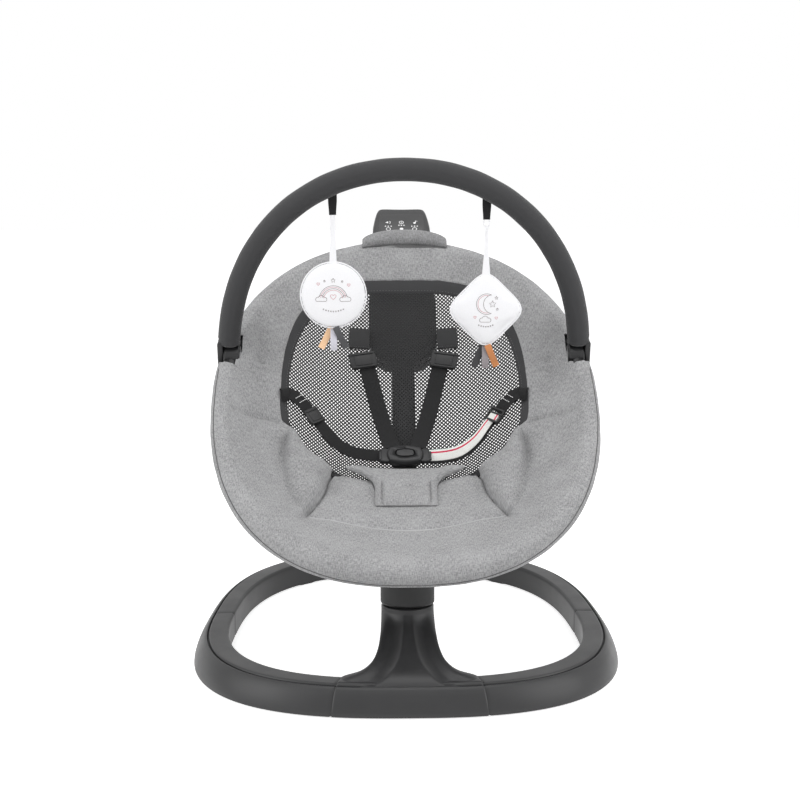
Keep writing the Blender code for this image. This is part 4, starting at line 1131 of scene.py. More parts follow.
def padding(turn, share):
    """Rise of the hip bolsters, the channels sewn round them, and the seams' narrow grooves."""
    seam = seam_share(turn)
    height = 0.0
    if turn < 0.62:
        height -= 0.0022 * bell(share - seam, 0.050) + 0.0016 * bell(share - seam, 0.010)
    elif turn < BOLSTER_TOP:
        height -= (0.0062 * bell(share - seam - 0.02, 0.085) * smooth((turn - 0.60) / 0.12)
                   * smooth((BOLSTER_TOP - turn) / 0.12))
    crease = follow(CREASE_COURSE, share)
    fade = smooth((0.78 - share) / 0.22)
    height -= fade * (0.0045 * bell(turn - crease + 0.03, 0.055)
                      + 0.0095 * bell(turn - crease, 0.015))
    edge = 1 - (1 - min(max((turn - crease) / 0.17, 0.0), 1.0)) ** 2.6
    window = edge * smooth((BOLSTER_TOP + 0.03 - turn) / 0.26)
    if share < seam:
        swell = math.sin(math.pi * mix(0.30, 1.0, share / max(seam, 0.02)))
        height += BOLSTER_PUFF * 1.5 * window * max(swell, 0.0) ** 0.8
    if turn > 2.6:
        aside = abs(math.sin(turn)) * mix(0.205, 0.30, share)
        height -= 0.0014 * bell(aside - 0.066, 0.0026) * smooth(share / 0.1)
    side_seam = follow(SIDE_SEAM_COURSE, share)
    fade = smooth((0.93 - share) / 0.1) * smooth((share - 0.02) / 0.10)
    height -= 0.0030 * fade * (bell(turn - side_seam, 0.030) + bell(turn - side_seam, 0.015))
    height += 0.0042 * bell(turn - side_seam + 0.10, 0.070) * smooth((0.9 - share) / 0.2)
    return height


def cloth_ripple(point, scale, size):
    """Soft uneven swell of stretched cloth."""
    return noise.noise(point * scale) * size


def overlap(turn):
    """How far the bolsters bulge over the edge of the mesh opening."""
    return follow(OVERLAP_COURSE, turn) if 0.60 < turn < 1.345 else 0.0


def cover_point(angle, share):
    """A point of the cover's padded top, from the mesh opening (0) to the rim (1)."""
    turn = abs(angle)
    point = opening_point(angle, overlap(turn)).lerp(rim_point(angle, TUBE_INSET + 0.004), share)
    hub = turn - HUB_ANGLE
    lift = padding(turn, share) + cloth_ripple(point, 17.0, 0.0016) * smooth(share / 0.15)
    lift -= 0.0065 * bell(hub + 0.01, 0.028) * bell(share - 0.46, 0.085)
    lift -= 0.0022 * bell(hub + 0.10, 0.022) * bell(share - 0.40, 0.16)
    lift += 0.0016 * bell(hub + 0.055, 0.020) * bell(share - 0.42, 0.20)
    lift -= 0.0016 * (1 - smooth(share / 0.05))
    return Vector((point.x, point.y, bowl(point.x, point.y) + lift))


def edge_seam(turn):
    """Degrees round the rolled rim at which its edge seam runs."""
    return mix(-17, 42, smooth(turn / 1.2))


def roll_point(angle, degrees, proud=0.0):
    """A point of the rolled rim, at an angle round the seat and degrees round the roll."""
    turn = abs(angle)
    tilt = math.radians(degrees)
    seamed = smooth((1.80 - turn) / 0.15)
    radius = ROLL_RADIUS + proud - 0.0015 * bell(degrees - edge_seam(turn), 7) * seamed
    radius += 0.0006 * bell(degrees - edge_seam(turn) + 20, 12) * seamed
    radius += cloth_ripple(Vector((angle * 4, degrees / 90, 0)), 3.0, 0.0005)
    aim = rim_outward(angle) * math.cos(tilt) + UP * math.sin(tilt)
    return tube_centre(angle) + aim * radius


def cover_place(columns, top, roll, sleeve, under):
    """The padded cover's points and cloth coordinates, over the rim and back under."""
    rows = top + roll + sleeve + under
    known = {}

    def section(u):
        angle = 2 * math.pi * (u - 0.5)
        out, centre = rim_outward(angle), tube_centre(angle)
        points = [cover_point(angle, share) for share in spaced(0.0, 0.96, top)]
        points += [roll_point(angle, degrees) for degrees in spaced(78, -130, roll)[1:]]
        for degrees in spaced(-130, 130, sleeve)[1:]:
            tilt = math.radians(degrees)
            points.append(centre + (out * math.cos(tilt) + UP * math.sin(tilt)) * SLEEVE_CLEARANCE)
        inner, outer = opening_point(angle), rim_point(angle, TUBE_INSET + 0.004)
        for step in range(under):
            point = inner.lerp(outer, 0.82 * (1 - step / (under - 1)))
            points.append(Vector((point.x, point.y, bowl(point.x, point.y) - PAD_THICKNESS)))
        along = (outer - inner).normalized()
        flat, travelled = [], 0.0
        for before, point in zip([points[0]] + points, points):
            travelled += (point - before).length
            flat.append((inner.x + along.x * travelled, inner.y + along.y * travelled))
        return points, flat

    def find(u, v):
        column = round(u * columns) % columns
        if column not in known:
            known[column] = section(column / columns)
        return known[column], round(v * (rows + 1)) % (rows + 1)

    def place(u, v):
        (points, flat), index = find(u, v)
        return points[index]

    def cloth(u, v):
        (points, flat), index = find(u, v)
        return flat[index]

    return place, cloth, rows + 1


# Cylinders cut beside each hub: radius, distance in from the hub's centre, and where each is cut
# flat below and towards the front.
HUB_CUTS = [(0.0345, 0.0150, 0.0040, 0.0), (0.0310, 0.0150, 0.0085, -1.0),
            (0.0226, 0.0135, 0.0, -1.0), (0.0200, 0.0050, -1.0, -1.0)]
HUB_CUT_DEPTH = 0.060


def hub_cutters(side):
    """Room in the cover for the hub's cheeks, and above them for the toy bar as it turns."""
    hub = rim_point(side * HUB_ANGLE, TUBE_INSET)
    forms = []
    for radius, inner, low, first in HUB_CUTS:
        bm = bmesh.new()
        bmesh.ops.create_cone(bm, cap_ends=True, segments=64, radius1=radius, radius2=radius,
                              depth=HUB_CUT_DEPTH)
        bmesh.ops.rotate(bm, matrix=Matrix.Rotation(math.pi / 2, 3, "Y"), verts=bm.verts[:])
        for vert in bm.verts:
            vert.co.z = max(vert.co.z, low)
            vert.co.y = max(vert.co.y, first)
        bmesh.ops.remove_doubles(bm, verts=bm.verts[:], dist=1e-7)
        place = (hub.x + side * (HUB_CUT_DEPTH / 2 - inner), hub.y, -TUBE_DROP)
        bmesh.ops.translate(bm, vec=place, verts=bm.verts[:])
        bm.transform(SEAT)
        forms.append(bm)
    return forms


def tube_form(path, radius, sides=8, flat=1.0):
    """A round or flattened bead along a path, with tapering ends."""
    frames = []
    for index in range(len(path)):
        along = (path[min(index + 1, len(path) - 1)] - path[max(index - 1, 0)]).normalized()
        across = along.cross(UP).normalized()
        frames.append((across, across.cross(along)))
    rows = len(path) - 1

    def place(u, v):
        index = round(v * rows)
        across, up = frames[index]
        turn = 2 * math.pi * u
        size = radius * min(1.0, 0.2 + 0.4 * min(index, rows - index))
        return path[index] + (across * math.cos(turn) + up * math.sin(turn) * flat) * size

    return close_ends(grid_form(sides, rows, place, (0.005, 0.4)))


COVER_COLUMNS = 520
# Blocks cut out of the cover: for the control head and for the front bracket.
COVER_ROOMS = [((0.0995, 0.0530, 0.0588), 0.003, (0, 0.6745, -0.0206)),
               ((0.036, 0.034, 0.030), 0.002, (0, 0.0215, -TUBE_DROP - 0.0155))]


class SWING_OT_cover(bpy.types.Operator):
    """Model the padded cover with its sewn channels and rolled rim"""
    bl_idname = "swing.cover"
    bl_label = "Padded cover"

    def execute(self, context):
        place, flat, rows = cover_place(COVER_COLUMNS, 88, 52, 10, 12)
        bm = grid_form(COVER_COLUMNS, rows, place, flat)
        cloth = grey_cloth("grey_melange")
        cover = seat_piece("seat_cover_cloth", bm, cloth, "grey_fabric", "seat_cover")
        rooms = [*hub_cutters(1), *hub_cutters(-1)]
        for size, bevel, middle in COVER_ROOMS:
            room = slab_form(size, bevel)
            bmesh.ops.translate(room, vec=middle, verts=room.verts[:])
            room.transform(SEAT)
            rooms.append(room)
        cut_away(cover, rooms)
        self.welts()
        return {"FINISHED"}

    def welts(self):
        """A thin welt along the front arc, its pale cloth a painted highlight on the ridge, and the
        dark seam inside the rim's outline.
        """
        path = [cover_point(angle, seam_share(abs(angle))) + UP * 0.0004
                for angle in spaced(-0.60, 0.60, 160)]
        # Painted highlight: the welt is 1.25 times the cover's grey, standing in for light caught
        # along the seam's ridge.
        light = moulded("welt_painted_highlight", tint(colours().grey_cloth, 1.25), 0.9, 0.4, 0.05)
        seat_piece("seat_cover_welt", tube_form(path, 0.0009, 8, 0.8), light, "grey_fabric")
        path = [roll_point(angle, edge_seam(abs(angle)), 0.0004)
                for angle in spaced(-1.74, 1.74, 480)]
        dark = moulded("seam_thread", tint(colours().grey_cloth, 0.36), 0.95, 0.4, 0.03)
        seat_piece("seat_cover_edge_seam", tube_form(path, 0.0007, 8), dark, "grey_fabric")


def arc_table(height, half_range, steps=160):
    """Distances over a curve of heights, for draping a net without stretching it."""
    table = [(0.0, 0.0)]
    travelled = 0.0
    for step in range(steps):
        start, end = half_range * step / steps, half_range * (step + 1) / steps
        travelled += math.hypot(end - start, height(end) - height(start))
        table.append((travelled, end))
    return table


def look_up(table, distance):
    """Linear reading of an arc table, mirrored about its start."""
    wanted = abs(distance)
    low, high = 0, len(table) - 1
    if wanted >= table[high][0]:
        return math.copysign(table[high][1] + wanted - table[high][0], distance)
    while high - low > 1:
        middle = (low + high) // 2
        if table[middle][0] > wanted:
            high = middle
        else:
            low = middle
    share = (wanted - table[low][0]) / (table[high][0] - table[low][0])
    return math.copysign(mix(table[low][1], table[high][1], share), distance)


class SWING_OT_net(bpy.types.Operator):
    """Weave the open net of diamonds and drape it in the seat's bowl"""
    bl_idname = "swing.net"
    bl_label = "Net"

    def execute(self, context):
        width, length = sizes().net_width, sizes().net_length
        count = 120
        bm = bmesh.new()
        bmesh.ops.create_grid(bm, x_segments=count, y_segments=count, size=count / 2)
        headward = arc_table(lambda y: bowl(0, OPENING_CENTRE + y), 0.26)
        frontward = arc_table(lambda y: bowl(0, OPENING_CENTRE - y), 0.26)
        across = {}
        for vert in bm.verts:
            along = (vert.co.x + vert.co.y) / 2
            aside = (vert.co.x - vert.co.y) / 2
            down = look_up(headward if along > 0 else frontward, along * length)
            y = OPENING_CENTRE + down
            key = round(y, 3)
            if key not in across:
                across[key] = arc_table(lambda x: bowl(x, key), 0.26)
            vert.co = (look_up(across[key], aside * width), y, 0)
        outside = [face for face in bm.faces
                   if in_opening(*face.calc_center_median().xy, -0.0015) > 1]
        bmesh.ops.delete(bm, geom=outside, context="FACES")
        for vert in bm.verts:
            vert.co.z = bowl(vert.co.x, vert.co.y) - 0.0026
        bmesh.ops.recalc_face_normals(bm, faces=bm.faces[:])
        area = sum(face.calc_area() for face in bm.faces)
        cells = bm.faces[:]
        bmesh.ops.inset_individual(bm, faces=cells, thickness=sizes().net_strand / 2)
        bmesh.ops.delete(bm, geom=cells, context="FACES_ONLY")
        bmesh.ops.solidify(bm, geom=bm.faces[:], thickness=0.0009)
        strands = black_cloth("net_strands", False, colours().net, 0.0006)
        net = seat_piece("seat_net", bm, strands, "black_fabric", "mesh_panel", angle=60)
        return {"FINISHED"}


class SWING_OT_binding(bpy.types.Operator):
    """Model the binding tape round the net, with its row of stitches"""
    bl_idname = "swing.binding"
    bl_label = "Binding"

    def execute(self, context):
        columns, sides = 320, 20
        offsets = section_offsets(1.0, 1.0, sides, 3.0)

        def place(u, v):
            angle = 2 * math.pi * (u - 0.5)
            outer = opening_point(angle, -0.0060)
            inner = opening_point(angle, binding_inset(angle))
            share, rise = offsets[round(v * sides)]
            point = outer.lerp(inner, 0.5 + share)
            ripple = cloth_ripple(point, 60.0, 0.0006)
            sunk = (0.0022 + 0.0034 * smooth((1.36 - abs(angle)) / 0.08)
                    + 0.0022 * smooth((-0.15 - share) / 0.30))
            return on_seat(point.x, point.y, -sunk + rise * 0.0042 + ripple)

        bm = grid_form(columns, sides, place, (1.15, 0.05))
        cloth = black_cloth("binding_tape_cloth", True, tint(colours().black_cloth, 0.8))
        seat_piece("mesh_binding_tape", bm, cloth, "black_fabric", "mesh_binding")
        path, normals = [], []
        for step in range(721):
            angle = math.pi * (0.46 + 1.08 * step / 720)
            angle -= 2 * math.pi if angle > math.pi else 0.0
            point = opening_point(angle, binding_inset(angle) - 0.0030)
            path.append(on_seat(point.x, point.y, 0.0001))
            normals.append(bowl_normal(point.x, point.y))
        row = stitch_form(path, normals, sizes().stitch * 0.8, 0.0022, 0.00035)
        seat_piece("binding_stitches", row, thread("grey_thread", (0.12,) * 3), "black_fabric")
        return {"FINISHED"}


class SWING_OT_flap(bpy.types.Operator):
    """Model the padded flap over the head of the seat"""
    bl_idname = "swing.flap"
    bl_label = "Head flap"

    def execute(self, context):
        columns, rows = 72, 40
        ring = [(0, 0.0, 0.0128, 0.0), (1, -0.0010, 0.0140, 0.0040), (2, 0.0038, 0.0148, 0.0098),
                (3, 0.0145, 0.0148, 0.0120), (4, 0.0259, 0.0144, 0.0085), (5, 0.0325, 0.0136, 0.0),
                (6, 0.0315, 0.0124, 0.0), (7, 0.0170, 0.0124, 0.0), (8, 0.0, 0.0128, 0.0)]

        def place(u, v):
            x = mix(-FLAP_HALF_WIDTH, FLAP_HALF_WIDTH, u)
            y, z, swell = follow(ring, v * 8)
            puff = (1 - (abs(x) / (FLAP_HALF_WIDTH + 0.0006)) ** 2.6) ** 0.42
            folds = bell(x + 0.006, 0.0045) + 0.7 * bell(x + 0.024, 0.005)
            fold = 0.0022 * folds * bell(v - 0.18, 0.10)
            fold += 0.0012 * cloth_ripple(Vector((x, y, 0)), 70.0, 1.0) * bell(v - 0.3, 0.2)
            draw = 0.008 * (x / FLAP_HALF_WIDTH) ** 2
            return Vector((x + 0.004, FLAP_Y + y * mix(0.55, 1.0, puff) - draw,
                           z + (swell - fold) * puff))

        bm = close_ends(grid_form(columns, rows, place, (0.14, 0.08)))
        # Painted shade: the flap's cloth is toned down to 0.74 of the cover's grey, standing in for
        # the shade it sits in.
        cloth = grey_cloth("flap_cloth", 0.74)
        flap = seat_piece("head_flap_cloth", bm, cloth, "grey_fabric", "head_flap")
        return {"FINISHED"}


# Sections of the control head from its foot to its top edge: y, half width, face and back.
CONTROL_SECTIONS = [(0.6440, 0.0460, -0.0130, -0.0575), (0.6480, 0.0478, -0.0030, -0.0570),
                    (0.6750, 0.0485, 0.0060, -0.0480), (0.7050, 0.0475, 0.0080, -0.0350),
                    (0.7250, 0.0452, 0.0080, -0.0300), (0.7450, 0.0414, 0.0078, -0.0260),
                    (0.7562, 0.0375, 0.0066, -0.0220)]
PANEL_SIZE = (0.074, 0.052, 0.0012)
PANEL_LIFT = 0.0079
MARK_LIFT = 0.0007
MARK_THICKNESS = 0.0002


class SWING_OT_control(bpy.types.Operator):
    """Model the control head, its touch panel and plain key marks"""
    bl_idname = "swing.control"
    bl_label = "Control head"

    def execute(self, context):
        foot, top = CONTROL_SECTIONS[0][0], CONTROL_SECTIONS[-1][0]

        def place(u, v):
            y = mix(foot, top, 1 - (1 - v) ** 1.5)
            half, face, back = follow(CONTROL_SECTIONS, y)
            draw = end_rounding(top - y, 0.0036)
            half, face, back = half - draw, face - draw * 0.6, back + draw
            turn = 2 * math.pi * u
            x = half * signed_power(math.cos(turn), 2 / 7)
            share = signed_power(math.sin(turn), 2 / 7)
            dish = 0.0018 * (1 - (x / half) ** 2) * smooth((y - 0.742) / 0.012)
            return Vector((x, y - dish, mix(back, face, 0.5 + share / 2)))

        bm = close_ends(grid_form(96, 60, place, (0.3, 0.11)))
        charcoal = moulded("control_moulding", tint(colours().charcoal, 1.15), 0.34)
        seat_piece("control_head_shell", bm, charcoal, "charcoal_plastic", "control_housing")
        on_panel = SEAT @ shift(0, PANEL_Y, PANEL_LIFT)
        seat_piece("touch_panel_plate", round_slab_form(PANEL_SIZE, 0.006, 0.0002),
                   glossy_panel("panel_gloss_black", colours().charcoal), "panel_gloss",
                   "touch_panel", place=on_panel)
        seat_piece("panel_marks", self.marks(), printed("mark_white", (0.86,) * 3), "panel_gloss",
                   place=on_panel)
        return {"FINISHED"}

    def marks(self):
        """Plain key marks in three columns, each over a row of small lamps."""
        bm = bmesh.new()
        lines = [circle_line(0.0, 0.0045, 0.0034), [(0.0, 0.0066), (0.0, 0.0045), (0.0014, 0.0036)],
                 circle_line(-0.0215, -0.0122, 0.0034), circle_line(0.0215, -0.0122, 0.0034),
                 circle_line(-0.0235, 0.0045, 0.0052, -38, 38, 8),
                 [(0.0232, 0.0030), (0.0232, 0.0085), (0.0262, 0.0072)]]
        for line in lines:
            path = [Vector((x, y, MARK_LIFT)) for x, y in line]
            add_form(bm, strap_form(path, [UP] * len(path), 0.0010, MARK_THICKNESS, 6))
        quarter = Matrix.Rotation(math.pi / 2, 4, "Z")
        for x, y, radius, sides in ((-0.0232, 0.0045, 0.0030, 3), (0.0215, 0.0030, 0.0021, 20),
                                    (0.0, -0.0122, 0.0030, 20)):
            self.dot(bm, radius, sides, shift(x, y, MARK_LIFT) @ quarter)
        for middle, y, step in ((-0.0215, -0.0052, 0.0046), (0.0, -0.0030, 0.0040),
                                (0.0215, -0.0052, 0.0046)):
            for side in (-1, 0, 1):
                self.dot(bm, 0.0012, 12, shift(middle + side * step, y, MARK_LIFT))
        return bm

    def dot(self, bm, radius, sides, place):
        bmesh.ops.create_cone(bm, cap_ends=True, segments=sides, radius1=radius, radius2=radius,
                              depth=MARK_THICKNESS, matrix=place)


# The crotch pad's half width and puff at its places y, from its front edge to the buckle.
CROTCH_SECTIONS = [(0.1680, 0.0438, 0.0030), (0.1720, 0.0442, 0.0075), (0.1800, 0.0443, 0.0105),
                   (0.1950, 0.0444, 0.0125), (0.2080, 0.0446, 0.0133), (0.2200, 0.0456, 0.0140),
                   (0.2300, 0.0490, 0.0140), (0.2400, 0.0590, 0.0135), (0.2490, 0.0780, 0.0120),
                   (0.2545, 0.0870, 0.0100), (0.2585, 0.0860, 0.0070)]
CROTCH_SEAM = 0.0345


class SWING_OT_crotch_pad(bpy.types.Operator):
    """Model the quilted pad between the seat and the buckle"""
    bl_idname = "swing.crotch_pad"
    bl_label = "Crotch pad"

    def execute(self, context):
        front, rear = CROTCH_SECTIONS[0][0], CROTCH_SECTIONS[-1][0]

        def place(u, v):
            y = mix(front, rear, min(v, 1 - v) * 2)
            half, puff = follow(CROTCH_SECTIONS, y)
            share = mix(-1, 1, u)
            x = half * share
            raised = 0.0045 * smooth((abs(x) - 0.046) / 0.020)
            if v > 0.5:
                return on_seat(x, y, 0.0008 + raised)
            inner = CROTCH_SEAM / half
            stitch = 0.45 * bell(abs(share) - inner, 0.05) * smooth((0.235 - y) / 0.02)
            cross = 0.30 * bell(y - 0.2085, 0.0025) * smooth((inner - abs(share)) / 0.05)
            swell = puff * max(0.0, 1 - share ** 8 - stitch - cross) * 0.7
            lift = mix(0.0014, 0.0034, smooth((y - front) / 0.030)) + swell + raised
            return on_seat(x, y, lift + cloth_ripple(Vector((x, y, 0)), 55.0, 0.0009))

        pad = seat_piece("crotch_pad_cloth", close_ends(grid_form(72, 60, place, (0.12, 0.18))),
                         grey_cloth("crotch_pad_cloth"), "grey_fabric", "crotch_pad")
        rows = bmesh.new()
        for side in (-1, 1):
            path, normals = [], []
            x = side * CROTCH_SEAM
            for y in spaced(0.171, 0.222, 120):
                _, puff = follow(CROTCH_SECTIONS, y)
                path.append(on_seat(x, y, 0.0036 + puff * 0.42))
                normals.append(bowl_normal(x, y))
            add_form(rows, stitch_form(path, normals, 0.0026, 0.0016, 0.0004))
        seat_piece("crotch_pad_stitches", rows, thread("dark_thread", (0.11, 0.11, 0.112)),
                   "grey_fabric")
        return {"FINISHED"}


SIDES = ((1, "right"), (-1, "left"))
# Courses over the right half of the seat as (x, y, lift over the cloth).
SHOULDER_COURSE = [(0.0585, 0.4500, 0.0075), (0.0515, 0.4210, 0.0085), (0.0415, 0.3800, 0.0085),
                   (0.0320, 0.3450, 0.0085), (0.0230, 0.3150, 0.0090), (0.0195, 0.3010, 0.0110)]
SHOULDER_TACK = [(0.0520, 0.4700, 0.0125), (0.0800, 0.4700, 0.0125)]
WAIST_COURSE = [(0.1400, 0.3440, 0.0100), (0.1270, 0.3270, 0.0125), (0.1080, 0.3030, 0.0125),
                (0.0860, 0.2880, 0.0120), (0.0640, 0.2820, 0.0125), (0.0370, BUCKLE_Y, 0.0140)]
LOOP_COURSE = [(0.1440, 0.3500, 0.0080), (0.1530, 0.3620, 0.0080), (0.1660, 0.3740, 0.0060),
               (0.1790, 0.3790, 0.0035)]
KNOT_COURSE = [(0.1830, 0.3850, 0.0010), (0.1815, 0.3800, 0.0062), (0.1800, 0.3720, 0.0062),
               (0.1785, 0.3650, 0.0020)]
STRAP_THICKNESS = 0.0020
WAIST_TURN = 0.62


class SWING_OT_harness(bpy.types.Operator):
    """Model the straps, keepers, loops and adjusters of the harness"""
    bl_idname = "swing.harness"
    bl_label = "Harness"

    def execute(self, context):
        strap_cloth = webbing("strap_webbing")
        patch_cloth = black_cloth("patch_cloth", False, tint(colours().black_cloth, 0.55))
        fitting = moulded("fitting_moulding", tint(colours().black_plastic, 0.75), 0.5)
        for side, name in SIDES:
            self.shoulder(side, name, strap_cloth, patch_cloth, fitting)
            self.waist(side, name, strap_cloth, fitting)
            self.loop(side, name, strap_cloth)
        return {"FINISHED"}

    def shoulder(self, side, name, strap_cloth, patch_cloth, fitting):
        """A shoulder strap, its keeper on the net, its adjuster and the tack across it."""
        path, normals = seat_path(SHOULDER_COURSE, side, 10)
        strap = strap_form(path, normals, sizes().webbing, STRAP_THICKNESS)
        seat_piece("shoulder_webbing_" + name, strap, strap_cloth, "black_fabric",
                   "shoulder_strap_" + name)
        keeper = round_slab_form((0.032, 0.037, 0.0036), 0.002, 0.0009)
        keeper.transform(seat_turn(side * 0.069, 0.4940, 0.0040))
        add_form(keeper, round_slab_form((0.031, 0.0045, 0.0060), 0.0014, 0.0010),
                 seat_turn(side * 0.069, 0.4765, 0.0050))
        seat_piece("shoulder_patch_" + name, keeper, patch_cloth, "black_fabric",
                   "shoulder_keeper_" + name)
        lock = self.ladder_lock(0.0415, 0.0290)
        lock.transform(seat_turn(side * 0.0635, 0.4525, 0.0100, side * -0.22))
        seat_piece("shoulder_lock_" + name, lock, fitting, "black_plastic",
                   "shoulder_adjuster_" + name)
        path, normals = seat_path(SHOULDER_TACK, side, 36)
        tack = stitch_form(path, normals, 0.0030, 0.0018, 0.0005)
        seat_piece("shoulder_tack_" + name, tack, thread("pale_thread_" + name, (0.62,) * 3),
                   "black_fabric")

    def ladder_lock(self, width, length):
        """A moulded webbing adjuster: a web, a middle bar and a raised lifting lip."""
        bm = round_slab_form((width, length, 0.0040), 0.0028, 0.0010)
        for size, bevel, along, up in (
                ((width * 0.92, 0.0034, 0.0062), 0.0012, -0.42, 0.0010),
                ((width * 0.86, 0.0028, 0.0050), 0.0010, 0.36, 0.0008),
                ((width * 0.66, length * 0.62, 0.0052), 0.0012, -0.02, 0.0004)):
            add_form(bm, slab_form(size, bevel), shift(0, length * along, up))
        return bm

    def waist(self, side, name, strap_cloth, fitting):
        """A waist strap and its adjuster; the right one is striped, on a dark backing."""
        width = sizes().waist_webbing
        path, normals = seat_path(WAIST_COURSE, side, 10)
        leaning = [(normal + Vector((0, -0.55, 0))).normalized() for normal in normals]
        strap = strap_form(path, leaning, width, STRAP_THICKNESS)
        if side > 0:
            cloth = striped_webbing("striped_webbing", width)
            self.narrow(strap, path, 0.0030)
            behind = [point + Vector((0, -0.0035, -0.0026)) for point in path]
            under = strap_form(behind, leaning, width, STRAP_THICKNESS)
            self.narrow(under, path, 0.0)
            seat_piece("waist_backing_right", under, strap_cloth, "black_fabric")
            wrap = round_slab_form((0.0150, 0.0125, 0.0062), 0.0012, 0.0010)
            layer = wrap.loops.layers.uv.new("cloth")
            for face in wrap.faces:
                for loop in face.loops:
                    loop[layer].uv = (loop.vert.co.x + 0.0082, loop.vert.co.y)
            wrap.transform(seat_turn(0.1375, 0.3400, 0.0135, -WAIST_TURN))
            seat_piece("waist_wrap_right", wrap, cloth, "white_fabric")
            lock = self.frame(0.0240, 0.0240)
        else:
            cloth = strap_cloth
            lock = self.ladder_lock(0.0240, 0.0270)
        seat_piece("waist_webbing_" + name, strap, cloth, "black_fabric", "waist_strap_" + name)
        lock.transform(seat_turn(side * 0.139, 0.3430, 0.0130, side * -WAIST_TURN))
        seat_piece("waist_lock_" + name, lock, fitting, "black_plastic", "waist_adjuster_" + name)

    def narrow(self, bm, path, lift):
        """Gather a strap towards its adjuster, where it turns on edge."""
        for vert in bm.verts:
            nearest = min(path, key=lambda point: (point - vert.co).length_squared)
            share = smooth((nearest.x - 0.070) / 0.060)
            vert.co = vert.co.lerp(nearest, 0.34 * share) + Vector((0, lift * share, lift * share))

    def frame(self, width, length):
        """An open sliding frame: two side rails and three bars."""
        bm = bmesh.new()
        for aside in (-1, 1):
            add_form(bm, slab_form((0.0030, length, 0.0052), 0.0011),
                     shift(aside * (width - 0.003) / 2, 0, 0))
        for ahead, up in ((-0.5, 0.0016), (0.10, 0.0016), (0.5, 0)):
            add_form(bm, slab_form((width, 0.0034, 0.0058), 0.0013),
                     shift(0, ahead * (length - 0.003), up))
        return bm

    def loop(self, side, name, strap_cloth):
        """The loop on the binding that holds a waist strap, knotted and tacked with two rows."""
        loop = strap_form(*seat_path(LOOP_COURSE, side), 0.0200, 0.0032)
        add_form(loop, strap_form(*seat_path(KNOT_COURSE, side), 0.0115, 0.0030))
        seat_piece("waist_patch_" + name, loop, strap_cloth, "black_fabric", "waist_loop_" + name)
        tacks = bmesh.new()
        for start in (0.0035, 0.0095):
            x, y = 0.1520 + start, 0.3640 + start
            ends = [(x - 0.006, y + 0.006, 0.0105), (x + 0.006, y - 0.006, 0.0105)]
            path, normals = seat_path(ends, side, 20)
            add_form(tacks, stitch_form(path, normals, 0.0030, 0.0002, 0.0007))
        seat_piece("waist_tack_" + name, tacks, thread("tack_thread_" + name, (0.80,) * 3),
                   "black_fabric")


BUCKLE_LIFT = 0.0145
BUCKLE_BODY = (0.0540, 0.0355, 0.0130)
BUTTON_POCKET = (0.0300, 0.0185, 0.0100)
BUTTON_SIZE = (0.0262, 0.0148, 0.0035)
BUTTON_LIFT = 0.02025
TONGUE_SIZE = (0.0165, 0.0280, 0.0070)


class SWING_OT_buckle(bpy.types.Operator):
    """Model the buckle, its tongues and its release button"""
    bl_idname = "swing.buckle"
    bl_label = "Buckle"

    def execute(self, context):
        fitting = moulded("buckle_moulding", colours().black_plastic, 0.38)
        place = SEAT @ seat_turn(0, BUCKLE_Y, BUCKLE_LIFT)
        buckle = seat_piece("buckle_shell", round_slab_form(BUCKLE_BODY, 0.0150, 0.0030, 96),
                            fitting, "black_plastic", "buckle_body", place=place)
        pocket = round_slab_form(BUTTON_POCKET, 0.0085, 0.0006)
        pocket.transform(place @ shift(0, 0, 0.0045))
        split = slab_form((0.0009, 0.0100, 0.0030), 0.0001, 1)
        split.transform(place @ shift(0, 0.0155, 0.0062))
        cut_away(buckle, [pocket, split])
        button = round_slab_form(BUTTON_SIZE, 0.0070, 0.0012)
        for vert in button.verts:
            if vert.co.z > 0:
                vert.co.z -= 0.0009 * bell(vert.co.y + 0.0012, 0.0040)
        finish_piece("buckle_push_button", button, fitting, "release_button",
                     place @ shift(0, 0, BUTTON_LIFT - BUCKLE_LIFT), ["buckle_button"])
        for side, name in SIDES:
            tongue = round_slab_form(TONGUE_SIZE, 0.0045, 0.0016)
            add_form(tongue, slab_form((0.0040, 0.0235, 0.0040), 0.0012),
                     shift(side * 0.0070, 0, 0.0025))
            tongue.transform(seat_turn(side * 0.0305, BUCKLE_Y, 0.0135))
            seat_piece("buckle_wing_" + name, tongue, fitting, "black_plastic",
                       "buckle_tongue_" + name)
        return {"FINISHED"}


